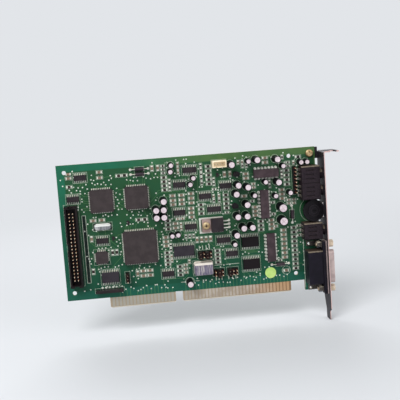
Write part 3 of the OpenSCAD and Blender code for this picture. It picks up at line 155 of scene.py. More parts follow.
class Tree:
    """A node tree, of a material or of the world."""

    def __init__(self, nodes: bpy.types.NodeTree) -> None:
        """Empties a node tree."""
        self.nodes = nodes
        nodes.nodes.clear()

    def node(
        self,
        kind: str,
        settings: Optional[dict] = None,
        inputs: Optional[dict[Union[int, str], Feed]] = None,
    ) -> bpy.types.Node:
        """Adds a node.

        Args:
            kind: The node's type.
            settings: Its properties, which are set first.
            inputs: Values or links of its sockets, by name, identifier or number.

        Returns:
            The node.
        """
        made = self.nodes.nodes.new(kind)
        for name, value in (settings or {}).items():
            setattr(made, name, value)
        for key, value in (inputs or {}).items():
            self.feed(made, key, value)
        return made

    def feed(self, node: bpy.types.Node, key: Union[int, str], value: Feed) -> None:
        """Sets or links one socket.

        Args:
            node: The node that has the socket.
            key: The socket's name, identifier or number.
            value: What goes in.
        """
        if isinstance(key, int):
            socket = node.inputs[key]
        else:
            socket = next(s for s in node.inputs if key in (s.identifier, s.name))
        source = value.socket if isinstance(value, Amount) else value
        if isinstance(source, bpy.types.NodeSocket):
            self.nodes.links.new(source, socket)
        else:
            socket.default_value = source

    def seen(self) -> Amount:
        """Tells the rays that see a surface from those that carry its light.

        Returns:
            1 for camera, glossy and transmission rays, and otherwise 0.
        """
        rays = self.node("ShaderNodeLightPath").outputs
        names = ("Is Camera Ray", "Is Glossy Ray", "Is Transmission Ray")
        camera, glossy, through = (Amount(self, rays[name]) for name in names)
        return (camera + glossy + through) > 0.5


class Recipe(Tree):
    """The node tree of one material, with its one principled surface."""

    def __init__(self, name: str) -> None:
        """Makes an empty material with a surface and an output.

        Args:
            name: The material's name.
        """
        self.material = bpy.data.materials.new(name)
        self.material.use_nodes = True
        super().__init__(self.material.node_tree)
        self.surface = self.node("ShaderNodeBsdfPrincipled")
        self.output = self.node("ShaderNodeOutputMaterial", inputs={"Surface": self.surface.outputs[0]})

    def dress(self, **inputs: Feed) -> None:
        """Feeds the surface, with a socket's name written with underscores for its spaces."""
        for name, value in inputs.items():
            self.feed(self.surface, name.replace("_", " "), value)

    @functools.cached_property
    def place(self) -> bpy.types.NodeSocket:
        """Scales the place on the object.

        Returns:
            The place in millimetres.
        """
        where = self.node("ShaderNodeTexCoord").outputs["Object"]
        scaled = self.node("ShaderNodeVectorMath", {"operation": "SCALE"}, {0: where, "Scale": 1 / MM})
        return scaled.outputs[0]

    def split(self, vector: bpy.types.NodeSocket) -> tuple[Amount, Amount, Amount]:
        """Takes a vector apart.

        Args:
            vector: The vector's socket.

        Returns:
            Its three parts.
        """
        node = self.node("ShaderNodeSeparateXYZ", inputs={0: vector})
        return Amount(self, node.outputs[0]), Amount(self, node.outputs[1]), Amount(self, node.outputs[2])

    @functools.cached_property
    def turned(self) -> tuple[Amount, Amount, Amount]:
        """The way that the surface faces, along X, Y and Z."""
        return self.split(self.node("ShaderNodeTexCoord").outputs["Normal"])

    def facing(self) -> Amount:
        """How squarely the surface faces along Y, from 0 to 1."""
        return abs(self.turned[1])

    def noise(self, scale: float, detail: float = 2.0, stretch: Point = (1.0, 1.0, 1.0)) -> Amount:
        """Adds a soft random pattern.

        Args:
            scale: Blots to the millimetre.
            detail: Layers of finer blots.
            stretch: How much finer it is along each axis.

        Returns:
            The pattern, about 0.5 in the middle.
        """
        where = self.node("ShaderNodeVectorMath", {"operation": "MULTIPLY"}, {0: self.place, 1: stretch})
        node = self.node(
            "ShaderNodeTexNoise", inputs={"Vector": where.outputs[0], "Scale": scale, "Detail": detail}
        )
        return Amount(self, node.outputs[0])

    def waves(self, scale: float, direction: str) -> Amount:
        """Adds even bands.

        Args:
            scale: Bands to about 3 millimetres.
            direction: The axis that they follow each other along, X, Y or Z.

        Returns:
            The bands, from 0 to 1.
        """
        node = self.node(
            "ShaderNodeTexWave", {"bands_direction": direction}, {"Vector": self.place, "Scale": scale}
        )
        return Amount(self, node.outputs[1])

    def blend(self, factor: Number, first: Feed, second: Feed) -> bpy.types.NodeSocket:
        """Mixes two colours.

        Args:
            factor: The second colour's share.
            first: The first colour.
            second: The second colour.

        Returns:
            The mixed colour's socket.
        """
        node = self.node(
            "ShaderNodeMix",
            {"data_type": "RGBA"},
            {"Factor_Float": factor, "A_Color": first, "B_Color": second},
        )
        return node.outputs[MIXED_COLOUR]

    def relief(self, height: Amount, depth: float) -> bpy.types.NodeSocket:
        """Raises the surface by a pattern.

        Args:
            height: The pattern.
            depth: Its depth in millimetres.

        Returns:
            The normal's socket.
        """
        return self.node("ShaderNodeBump", inputs={"Height": height, "Distance": depth * MM}).outputs[0]


@dataclass(frozen=True)
class Finish:
    """A surface: its colour, the colour that patches drift to, its gloss and its fine grain."""

    name: str
    colour: Colour
    drift: Colour
    roughness: float = 0.5
    metallic: float = 0.0
    specular: float = 0.3
    spread: float = 0.12
    grain: float = 5.0
    depth: float = 0.012
    patch: float = 0.2
    coat: float = 0.0
    glow: float = 0.0

    def paint(self, recipe: Recipe) -> None:
        """Writes the finish into a recipe.

        Args:
            recipe: The recipe.
        """
        grain = recipe.noise(self.grain)
        self.gloss(recipe, grain)
        recipe.dress(Base_Color=self.tone(recipe), Normal=recipe.relief(grain, self.depth))

    def tone(self, recipe: Recipe) -> bpy.types.NodeSocket:
        """Returns the colour with its patches."""
        return recipe.blend(recipe.noise(self.patch, 3.0).rises(0.35, 0.65), self.colour, self.drift)

    def gloss(self, recipe: Recipe, grain: Amount) -> None:
        """Sets what the surface reflects, and any painted glow.

        Args:
            recipe: The recipe.
            grain: The pattern that the roughness follows.
        """
        recipe.dress(Roughness=(grain - 0.5) * self.spread + self.roughness, Metallic=self.metallic)
        recipe.dress(Specular_IOR_Level=self.specular, Coat_Weight=self.coat)
        # A glow is painted light: the surface emits its own colour.
        if self.glow:
            recipe.dress(Emission_Color=self.colour, Emission_Strength=self.glow)


@dataclass(frozen=True)
class SolderMask(Finish):
    """Green lacquer over woven glass laminate, which is bare on the edges and on the contact tabs."""

    margin_right: Colour = shade(70, 100, 56)
    margin_low: Colour = shade(22, 82, 66)
    plane: Colour = shade(32, 72, 44)
    plane_low: Colour = shade(16, 68, 50)
    laminate: Colour = shade(150, 136, 116)
    fibre: Colour = shade(166, 152, 132)
    burnt: Colour = shade(122, 92, 60)
    bevel: Colour = shade(196, 188, 174)
    bevel_line: float = 0.7
    plane_left: float = -119.5
    plane_right: float = 62.0
    plane_foot: float = 13.5
    plane_top: float = 101.2
    tab_line: float = 7.7
    foot_left: float = 45.0
    weave: float = 2.2

    def lacquer(self, recipe: Recipe) -> bpy.types.NodeSocket:
        """Colours the lacquer: paler over bare margins, darker over the copper plane.

        Args:
            recipe: The recipe.

        Returns:
            The colour's socket.
        """
        x, _, z = recipe.split(recipe.place)
        top = recipe.blend(x.rises(-90.0, -10.0), self.colour, self.margin_right)
        margin = recipe.blend(z.rises(10.0, 80.0), self.margin_low, top)
        plane = recipe.blend(z.rises(10.0, 60.0), self.plane_low, self.plane)
        inside = x.rises(self.plane_left, self.plane_left + 1)
        inside = inside * z.rises(self.plane_foot, self.plane_foot + 1)
        inside = inside * (1 - z.rises(self.plane_top, self.plane_top + 1))
        inside = inside * (1 - x.rises(self.plane_right, self.plane_right + 1))
        return recipe.blend(inside, margin, plane)

    def paint(self, recipe: Recipe) -> None:
        """Writes the lacquer and the bare laminate into a recipe.

        Args:
            recipe: The recipe.
        """
        x, _, z = recipe.split(recipe.place)
        cloth = recipe.waves(self.weave, "X") * recipe.waves(self.weave, "Z")
        cloud = recipe.noise(0.12, 4.0).rises(0.3, 0.75)
        lacquer = recipe.blend(cloud * 0.35, self.lacquer(recipe), self.drift)
        cloth_tone = recipe.blend(cloth * recipe.noise(1.4, 3.0), self.laminate, self.fibre)
        cloth_tone = recipe.blend(x.rises(-20.0, 30.0) * 0.8, cloth_tone, self.burnt)
        bare = recipe.blend(z < self.bevel_line, cloth_tone, self.bevel)
        edge = recipe.facing() < 0.6
        tab = (z < self.tab_line) * (x < self.foot_left)
        naked = (edge + tab) > 0.5
        recipe.dress(Base_Color=recipe.blend(naked, lacquer, bare))
        recipe.dress(Normal=recipe.relief(cloth * 0.6 + recipe.noise(0.9), self.depth))
        self.gloss(recipe, naked * 1.6 + recipe.noise(0.8))


@dataclass(frozen=True)
class ContactGold(Finish):
    """Thin gold, worn pale towards the short tab and browner towards the bracket."""

    worn: Colour = shade(156, 152, 141)
    brown: Colour = shade(178, 142, 104)

    def tone(self, recipe: Recipe) -> bpy.types.NodeSocket:
        """Colours the gold paler on the left and browner on the right.

        Args:
            recipe: The recipe.

        Returns:
            The colour's socket.
        """
        x = recipe.split(recipe.place)[0]
        left = recipe.blend(x.rises(-45.0, -30.0), self.worn, super().tone(recipe))
        return recipe.blend(x.rises(-5.0, 45.0) * recipe.noise(0.05, 2.0).rises(0.3, 0.6), left, self.brown)


@dataclass(frozen=True)
class MaskedCopper(SolderMask):
    """The same lacquer over a copper track, which shows through a little lighter."""

    track: Colour = shade(96, 140, 84)
    share: float = 0.4

    def paint(self, recipe: Recipe) -> None:
        """Writes the lightened lacquer into a recipe.

        Args:
            recipe: The recipe.
        """
        grain = recipe.noise(1.2)
        recipe.dress(Base_Color=recipe.blend(self.share, self.lacquer(recipe), self.track))
        recipe.dress(Normal=recipe.relief(grain, self.depth))
        self.gloss(recipe, grain)


@dataclass(frozen=True)
class SheetSteel(Finish):
    """Plated sheet whose cut edges, which face along Y beyond the board, carry a painted highlight."""

    edge_highlight: Colour = shade(196, 170, 166)
    face_start: float = 66.2
    brush: float = 1.4

    def paint(self, recipe: Recipe) -> None:
        """Writes the rolled faces and the painted highlight on the cut edges into a recipe.

        Args:
            recipe: The recipe.
        """
        x = recipe.split(recipe.place)[0]
        lines = recipe.noise(self.brush, 3.0, (1.0, 8.0, 0.25))
        # The cut edges are painted brighter as a highlight.
        edge = (recipe.facing() > 0.7) * (x > self.face_start)
        face = recipe.blend(lines.rises(0.3, 0.7), self.colour, self.drift)
        recipe.dress(Base_Color=recipe.blend(edge, face, self.edge_highlight))
        recipe.dress(Normal=recipe.relief(lines, self.depth))
        self.gloss(recipe, lines + edge * 0.8)


@dataclass(frozen=True)
class TopLitMoulding(Finish):
    """Dark plastic with painted highlights on its upward faces and, paler, on its upper corners."""

    # Painted highlight colours: upper corners, then faces that look straight up.
    corner_highlight: Colour = shade(118, 108, 94)
    top_highlight: Colour = shade(74, 60, 52)

    def tone(self, recipe: Recipe) -> bpy.types.NodeSocket:
        """Colours the plastic, with painted highlights on its upward faces and on its upper corners.

        Args:
            recipe: The recipe.

        Returns:
            The colour's socket.
        """
        # Both highlights are painted light, set by how far the surface faces up, in patches.
        rise = recipe.turned[2]
        highlight_patches = recipe.noise(0.9, 3.0).rises(0.3, 0.6)
        top = recipe.blend((rise > 0.9) * (highlight_patches * 0.5 + 0.5), super().tone(recipe), self.top_highlight)
        corner = (rise > 0.3) * (rise < 0.9)
        return recipe.blend(corner * (highlight_patches * 0.4 + 0.6), top, self.corner_highlight)


@dataclass(frozen=True)
class HighlitCan(Finish):
    """A pressed metal box with a dull face and a painted highlight band along its upper shoulder."""

    # Painted highlight colour, also mixed into the face's lighter streaks.
    upper: Colour = shade(228, 220, 209)
    shoulder: float = 0.0

    def tone(self, recipe: Recipe) -> bpy.types.NodeSocket:
        """Colours the dull face with lighter streaks and the painted highlight band above the shoulder
        line.

        Args:
            recipe: The recipe.

        Returns:
            The colour's socket.
        """
        height = recipe.split(recipe.place)[2]
        streaks = recipe.noise(0.9, 3.0, (1.6, 1.0, 0.15)).rises(0.5, 0.7)
        face = recipe.blend(streaks * 0.5, super().tone(recipe), self.upper)
        return recipe.blend(height.rises(self.shoulder, self.shoulder + 0.4), face, self.upper)


@dataclass(frozen=True)
class BentTin(Finish):
    """Tinned metal with a warm painted highlight where it faces up and bluish painted shade where it faces
    down.
    """

    # Painted highlight for faces that look up.
    upper: Colour = shade(222, 212, 190)
    # Painted shade for faces that look down.
    lower: Colour = shade(104, 112, 126)

    def tone(self, recipe: Recipe) -> bpy.types.NodeSocket:
        """Colours the tin with a warm painted highlight on its upper faces and cool painted shade on its
        lower ones.

        Args:
            recipe: The recipe.

        Returns:
            The colour's socket.
        """
        rise = recipe.turned[2]
        with_highlight = recipe.blend(rise.rises(0.1, 0.6), super().tone(recipe), self.upper)
        return recipe.blend((rise * -1).rises(0.1, 0.6), with_highlight, self.lower)


@dataclass(frozen=True)
class GiltPin(Finish):
    """A gilt pin, with a painted highlight over its tip and copper red down its sides."""

    side: Colour = shade(128, 62, 36)
    tip_end: float = 0.0

    def tone(self, recipe: Recipe) -> bpy.types.NodeSocket:
        """Returns the painted highlight on the tip and the red sides."""
        y = recipe.split(recipe.place)[1]
        return recipe.blend(y < self.tip_end, self.side, super().tone(recipe))


@dataclass(frozen=True)
class ChipGlass(Finish):
    """A chip resistor: dark glass on top of a white ceramic slip."""

    ceramic: Colour = shade(205, 200, 190)

    def tone(self, recipe: Recipe) -> bpy.types.NodeSocket:
        """Returns the glass on top and the ceramic round the sides."""
        top = super().tone(recipe)
        return recipe.blend(recipe.facing() > 0.7, self.ceramic, top)


@dataclass(frozen=True)
class DarkerRightMoulding(Finish):
    """A moulding compound that is darker on the parts to the right of a line."""

    right: Colour = shade(20, 15, 18)
    line: float = 0.0

    def tone(self, recipe: Recipe) -> bpy.types.NodeSocket:
        """Returns the compound's colour on each side of the line."""
        x = recipe.split(recipe.place)[0]
        return recipe.blend(x > self.line, super().tone(recipe), self.right)


@dataclass(frozen=True)
class Brushed(Finish):
    """Metal with fine lines along X."""

    lines: float = 3.0

    def paint(self, recipe: Recipe) -> None:
        """Writes the lines into a recipe.

        Args:
            recipe: The recipe.
        """
        lines = recipe.noise(self.lines, 3.0, (0.2, 2.0, 2.0))
        recipe.dress(Base_Color=self.tone(recipe), Normal=recipe.relief(lines, self.depth))
        self.gloss(recipe, lines)


@functools.cache
def material_of(finish: Finish) -> bpy.types.Material:
    """Makes a finish's material once.

    Args:
        finish: The finish.

    Returns:
        Its material.
    """
    recipe = Recipe(finish.name)
    finish.paint(recipe)
    return recipe.material


BOARD = SolderMask(
    "solder_mask", shade(26, 94, 70), shade(26, 76, 54), roughness=0.34, specular=0.16, spread=0.1,
    depth=0.006,
)
TRACK = MaskedCopper(
    "masked_track", shade(26, 94, 70), shade(26, 76, 54), roughness=0.32, specular=0.18, depth=0.004
)
# A dark sheet that stands for the drive header's shadow.
PAINTED_HEADER_SHADOW = Finish(
    "painted_header_shadow", shade(16, 22, 22), shade(28, 42, 36), roughness=0.36, specular=0.1, patch=0.9
)
INK = Finish(
    "silkscreen_ink", shade(192, 200, 186), shade(160, 172, 156), roughness=0.7, specular=0.1,
    grain=9.0, patch=0.8,
)
CONTACT_GOLD = ContactGold(
    "contact_gold", shade(176, 166, 154), shade(156, 144, 130), roughness=0.4, metallic=0.3, grain=3.0,
    depth=0.004,
)
# Tinned leads, with painted highlight on upward faces and painted shade on downward ones.
TIN = BentTin(
    "tinned_lead", shade(214, 214, 204), shade(180, 180, 172), roughness=0.34, metallic=0.2, grain=7.0,
    depth=0.01,
)
# The in-line leads get a brighter painted highlight and darker painted shade; the board locks keep the
# tin's.
LINE_TIN = replace(TIN, name="in_line_tin", upper=shade(250, 248, 236), lower=shade(84, 88, 96))
LOCK_TIN = replace(TIN, name="board_lock_tin", colour=shade(96, 90, 84), drift=shade(60, 54, 50), patch=1.2)
SOLDER = Finish(
    "solder", shade(230, 234, 224), shade(196, 200, 190), roughness=0.34, metallic=0.15, grain=2.6,
    depth=0.02,
)
# The faces' dark grey is partly the plating's own tone and partly painted shade and painted dark
# reflection.
BRACKET = SheetSteel(
    "bracket_steel", shade(48, 44, 48), shade(36, 34, 40), roughness=0.44, metallic=0.3, specular=0.1,
    depth=0.006,
)
BRASS = Brushed(
    "yellow_plating", shade(212, 192, 154), shade(172, 144, 104), roughness=0.32, metallic=0.75,
    depth=0.006,
)
HEX_PLATING = replace(
    BRASS, name="hex_screw_plating", colour=shade(232, 214, 192), drift=shade(200, 178, 152),
    metallic=0.4,
)
# Its upward faces and upper corners carry painted highlights.
JACK_PLASTIC = TopLitMoulding(
    "jack_plastic", shade(42, 33, 39), shade(30, 24, 29), roughness=0.5, specular=0.1, grain=2.2,
    depth=0.05, patch=1.1,
)
WHEEL_PLASTIC = Finish(
    "wheel_plastic", shade(14, 11, 15), shade(22, 19, 24), roughness=0.45, specular=0.12, grain=6.0,
    depth=0.012,
)
# The raised rings are real; their lighter colour is a painted highlight.
WHEEL_RING_HIGHLIGHT = Finish(
    "wheel_ring", shade(30, 25, 30), shade(36, 31, 36), roughness=0.4, specular=0.14, grain=6.0,
    depth=0.012,
)
# Its upward faces and upper corners carry painted highlights.
PORT_PLASTIC = TopLitMoulding(
    "port_plastic", shade(25, 22, 32), shade(20, 18, 26), roughness=0.42, specular=0.1, grain=5.0,
    depth=0.01,
)
HEADER_PLASTIC = Finish(
    "header_plastic", shade(19, 17, 18), shade(30, 23, 24), roughness=0.45, specular=0.12, grain=6.0,
    depth=0.012,
)
SHUNT_PLASTIC = Finish(
    "shunt_plastic", shade(20, 14, 15), shade(44, 24, 22), roughness=0.45, specular=0.12, grain=6.0,
    patch=0.7,
)
PHENOLIC = Finish("phenolic", shade(58, 38, 28), shade(44, 30, 24), roughness=0.6, grain=2.0, depth=0.02)
EPOXY = Finish(
    "chip_epoxy", shade(60, 53, 54), shade(52, 46, 47), roughness=0.62, specular=0.12, grain=14.0,
    depth=0.02,
)
DARK_EPOXY = Finish(
    "dark_epoxy", shade(38, 33, 37), shade(47, 42, 44), roughness=0.55, specular=0.12, grain=14.0,
    depth=0.018,
)
WIDE_EPOXY = DarkerRightMoulding(
    "wide_chip_epoxy", shade(44, 40, 46), shade(50, 46, 52), roughness=0.55, specular=0.12, grain=14.0
)
LINE_EPOXY = Finish(
    "in_line_epoxy", shade(70, 58, 62), shade(56, 46, 50), roughness=0.6, specular=0.12, grain=12.0,
    depth=0.025,
)
BLACK_EPOXY = Finish(
    "black_epoxy", shade(20, 17, 20), shade(28, 24, 27), roughness=0.5, specular=0.12, grain=8.0,
    depth=0.015,
)
SLEEVE = Finish(
    "black_sleeve", shade(10, 9, 13), shade(18, 16, 22), roughness=0.5, specular=0.05, grain=1.2,
    depth=0.015,
)
CAN_TOP = Finish(
    "can_aluminium", shade(216, 202, 207), shade(196, 182, 188), roughness=0.38, metallic=0.2,
    grain=4.0, patch=0.5, depth=0.01,
)
CAN_SCORE = Finish("can_score", shade(186, 160, 166), shade(172, 148, 154), roughness=0.4, metallic=0.2)
SHELL = Brushed(
    "shell_tin", shade(196, 176, 172), shade(172, 152, 150), roughness=0.36, metallic=0.5, depth=0.01
)
# Its pale band above the shoulder line is a painted highlight.
CRYSTAL_CAN = HighlitCan(
    "crystal_can", shade(132, 134, 138), shade(108, 110, 114), roughness=0.24, metallic=0.5,
    depth=0.006, upper=shade(232, 232, 228),
)
# Its pale band above the shoulder line is a painted highlight.
GREY_CAN = HighlitCan(
    "grey_can", shade(112, 106, 124), shade(92, 86, 106), roughness=0.42, metallic=0.2, depth=0.01,
    patch=0.6,
)
TAB_METAL = Brushed(
    "tab_metal", shade(172, 150, 146), shade(140, 118, 112), roughness=0.34, metallic=0.4, depth=0.008
)
# Its pale colour is a painted highlight for the pin tips.
PIN_GOLD = GiltPin(
    "pin_gold", shade(248, 230, 204), shade(240, 214, 176), roughness=0.4, metallic=0.1, grain=4.0,
    depth=0.002,
)
SOCKET_GOLD = Finish(
    "socket_gold", shade(214, 184, 130), shade(192, 158, 104), roughness=0.3, metallic=0.7, depth=0.004
)
GLASS_CHIP = ChipGlass(
    "chip_glass", shade(34, 27, 26), shade(52, 40, 37), roughness=0.3, specular=0.25, patch=0.5,
    depth=0.008,
)
TAN_CERAMIC = Finish(
    "chip_ceramic", shade(132, 115, 98), shade(108, 90, 74), roughness=0.5, patch=0.7, grain=6.0
)
DARK_COATING = Finish(
    "dark_coating", shade(28, 23, 25), shade(38, 31, 33), roughness=0.35, specular=0.2, grain=2.0,
    depth=0.02,
)
LINE_COATING = Finish(
    "axial_coating", shade(58, 48, 54), shade(44, 36, 42), roughness=0.4, specular=0.2, grain=2.0,
    depth=0.02,
)
# Its glow is painted light that brightens the connector's shaded inside.
IVORY = Finish(
    "ivory_nylon", shade(226, 212, 186), shade(214, 196, 164), roughness=0.5, grain=4.0, depth=0.015,
    glow=0.2,
)
STICKER = Finish(
    "sticker_paper", shade(182, 210, 124), shade(170, 200, 112), roughness=0.75, specular=0.1,
    grain=3.0,
)
STRIPE_INK = Finish(
    "sleeve_stripe", shade(112, 114, 124), shade(96, 98, 108), roughness=0.3, grain=3.0, depth=0.004
)


class Side(Enum):
    """A face of the board, with the way along Y that it looks."""

    COMPONENT = -1
    SOLDER = 1


def direction(start: Flat, end: Flat) -> Flat:
    """Finds the unit vector from one point to another.

    Args:
        start: Where it starts.
        end: Where it ends.

    Returns:
        The unit vector, or zero where both are one point.
    """
    dx, dz = end[0] - start[0], end[1] - start[1]
    length = math.hypot(dx, dz) or 1.0
    return (dx / length, dz / length)


def corners(centre: Flat, size: Flat) -> list[Flat]:
    """Finds a rectangle's corners.

    Args:
        centre: Its middle.
        size: Its length along X and along Z.

    Returns:
        The corners, from the lower left one.
    """
    (x, z), (w, h) = centre, (size[0] / 2, size[1] / 2)
    return [(x - w, z - h), (x + w, z - h), (x + w, z + h), (x - w, z + h)]


def arc(centre: Flat, radius: float, steps: int, turns: Flat = (0.0, 360.0)) -> list[Flat]:
    """Spaces points along an arc. A whole circle leaves its last point out.

    Args:
        centre: The arc's middle.
        radius: Its radius.
        steps: The parts that it is split into.
        turns: Its first and last angle from +X, in degrees.

    Returns:
        The points.
    """
    first, sweep = math.radians(turns[0]), math.radians(turns[1] - turns[0])
    count = steps if turns[1] - turns[0] == 360.0 else steps + 1
    angles = [first + sweep * i / steps for i in range(count)]
    return [(centre[0] + radius * math.cos(a), centre[1] + radius * math.sin(a)) for a in angles]


class Sketch:
    """Gathers closed solids on one face of the board and turns them into one object."""

    def __init__(self, side: Side = Side.COMPONENT) -> None:
        """Starts empty.

        Args:
            side: The face of the board that it stands on.
        """
        self.side = side
        self.points: list[Point] = []
        self.faces: list[tuple[int, ...]] = []

    def at(self, x: float, z: float, height: float) -> Point:
        """Finds the point at a height above the board's face.

        Args:
            x: Along the board.
            z: Up the board.
            height: Height above the face.

        Returns:
            The point.
        """
        return (x, self.side.value * (HALF_BOARD + height), z)

    def loft(self, rings: Sequence[Sequence[Point]], joined: bool = False) -> None:
        """Adds a closed solid through rings of equal length.

        Args:
            rings: The rings, in order.
            joined: True where the last ring meets the first, and otherwise the ends are capped.
        """
        start, size = len(self.points), len(rings[0])
        for ring in rings:
            self.points.extend(ring)
        for i in range(len(rings) if joined else len(rings) - 1):
            near = start + i * size
            far = start + (i + 1) % len(rings) * size
            for j in range(size):
                k = (j + 1) % size
                self.faces.append((near + j, near + k, far + k, far + j))
        if not joined:
            last = start + (len(rings) - 1) * size
            self.faces.append(tuple(range(start, start + size)))
            self.faces.append(tuple(reversed(range(last, last + size))))

    def section(self, near: Flat, far: Flat, low: float, high: float) -> list[Point]:
        """Stands a rectangle up on the board, as the cross section of a strip or a ring.

        Args:
            near: One end of its foot.
            far: The other end.
            low: Height of its lower side.
            high: Height of its upper side.

        Returns:
            Its four corners.
        """
        return [self.at(*near, low), self.at(*far, low), self.at(*far, high), self.at(*near, high)]

    def block(self, centre: Flat, size: Flat, low: float, high: float) -> None:
        """Adds a rectangular plate.

        Args:
            centre: Its middle.
            size: Its length along X and along Z.
            low: Height of its underside.
            high: Height of its top.
        """
        outline = corners(centre, size)
        self.loft([[self.at(x, z, height) for x, z in outline] for height in (low, high)])

    def strip(
        self, path: Sequence[Flat], width: float, high: float, closed: bool = False, low: float = 0.0
    ) -> None:
        """Adds a flat strip with mitred corners.

        Args:
            path: Its middle line.
            width: Its width.
            high: Height of its top.
            closed: True for a loop.
            low: Height of its underside.
        """
        rings = []
        for i, (x, z) in enumerate(path):
            before = path[i - 1] if i or closed else None
            after = path[(i + 1) % len(path)] if i < len(path) - 1 or closed else None
            lead_in = direction(before, (x, z)) if before else direction((x, z), after)
            lead_out = direction((x, z), after) if after else lead_in
            across = (-lead_in[1] - lead_out[1], lead_in[0] + lead_out[0])
            norm = math.hypot(*across) or 1.0
            across = (across[0] / norm, across[1] / norm)
            spread = across[0] * -lead_in[1] + across[1] * lead_in[0]
            reach = width / 2 / max(spread, 0.4)
            left = (x + across[0] * reach, z + across[1] * reach)
            right = (x - across[0] * reach, z - across[1] * reach)
            rings.append(self.section(left, right, low, high))
        self.loft(rings, closed)

    def frame(self, centre: Flat, size: Flat, width: float, high: float) -> None:
        """Adds a rectangle's outline.

        Args:
            centre: Its middle.
            size: Its length along X and along Z.
            width: Width of the line.
            high: Height of the line's top.
        """
        self.strip(corners(centre, size), width, high, closed=True)

    def annulus(self, centre: Flat, radii: Flat, high: float, steps: int = 14, low: float = 0.0) -> None:
        """Adds a flat ring.

        Args:
            centre: Its middle.
            radii: Its inner and its outer radius.
            high: Height of its top.
            steps: Facets round it.
            low: Height of its underside.
        """
        near, far = (arc(centre, radius, steps) for radius in radii)
        self.loft([self.section(*ends, low, high) for ends in zip(near, far)], joined=True)

    def button(self, centre: Flat, radius: float, high: float, steps: int = 12) -> None:
        """Adds a low dome.

        Args:
            centre: Its middle.
            radius: Its radius.
            high: Height of its top.
            steps: Facets round it.
        """
        rings = []
        for share, height in ((1.0, 0.0), (0.92, high * 0.6), (0.55, high)):
            rings.append([self.at(*point, height) for point in arc(centre, radius * share, steps)])
        self.loft(rings)

    def shell(
        self, centre: Flat, radius: float, turns: Flat, heights: Flat, thickness: float, steps: int = 8
    ) -> None:
        """Adds a curved patch that lies on a round post.

        Args:
            centre: The post's middle.
            radius: The post's radius.
            turns: The patch's first and last angle, in degrees.
            heights: The patch's lowest and highest height above the board.
            thickness: How far it stands off the post.
            steps: Facets along it.
        """
        near, far = (arc(centre, radius + side * thickness, steps, turns) for side in (-1, 1))
        self.loft([self.section(*ends, *heights) for ends in zip(near, far)])

    def build(self, name: str, finish: Finish, slot: str, body: str = CARD) -> None:
        """Turns what was gathered into an object that rides on a body.

        Args:
            name: The object's name.
            finish: Its finish.
            slot: A material slot's name; not used.
            body: The body that carries it.
        """
        mesh = bpy.data.meshes.new(name)
        mesh.from_pydata([[c * MM for c in point] for point in self.points], [], self.faces)
        shape = bmesh.new()
        shape.from_mesh(mesh)
        bmesh.ops.recalc_face_normals(shape, faces=shape.faces)
        shape.to_mesh(mesh)
        shape.free()
        mesh.materials.append(material_of(finish))
        made = bpy.data.objects.new(name, mesh)
        bpy.context.scene.collection.objects.link(made)
        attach(made, body)
        LOG.info("%s: %d faces", name, len(mesh.polygons))


@dataclass(frozen=True)
class Solid:
    """One separate solid of a node, as the box round it."""

    left: float
    right: float
    foot: float
    top: float
    front: float

    @classmethod
    def round_about(cls, middle: Flat, size: Flat) -> "Solid":
        """Returns the flat box of a size round a middle."""
        (x, z), (w, h) = middle, (size[0] / 2, size[1] / 2)
        return cls(x - w, x + w, z - h, z + h, -HALF_BOARD)

    @property
    def centre(self) -> Flat:
        """The middle of the box."""
        return ((self.left + self.right) / 2, (self.foot + self.top) / 2)

    @property
    def size(self) -> Flat:
        """The box's length along X and along Z."""
        return (self.right - self.left, self.top - self.foot)

    @property
    def height(self) -> float:
        """How far it reaches out of the component face."""
        return -self.front - HALF_BOARD

    def near(self, other: "Solid", gap: float) -> bool:
        """Tells whether another box comes closer than a gap.

        Args:
            other: The other box.
            gap: The gap.

        Returns:
            True where it does.
        """
        apart_x = max(self.left - other.right, other.left - self.right)
        apart_z = max(self.foot - other.top, other.foot - self.top)
        return max(apart_x, apart_z) < gap


TOOLING_HOLE_R = 1.5
TOOLING_HOLES: tuple[Flat, ...] = ((-119.0, 101.2), (-119.0, 13.4), (44.1, 101.2), (44.9, 13.4))


def hole_boxes() -> list[Solid]:
    """Returns the boxes round the board's tooling holes."""
    return [Solid.round_about(hole, (2 * TOOLING_HOLE_R, 2 * TOOLING_HOLE_R)) for hole in TOOLING_HOLES]


def over_hole(box: Solid, margin: float = 0.1) -> bool:
    """Tells whether a box comes over a tooling hole.

    Args:
        box: The box.
        margin: How far off the hole it has to stay.

    Returns:
        True where it does.
    """
    return any(box.near(hole, margin) for hole in hole_boxes())


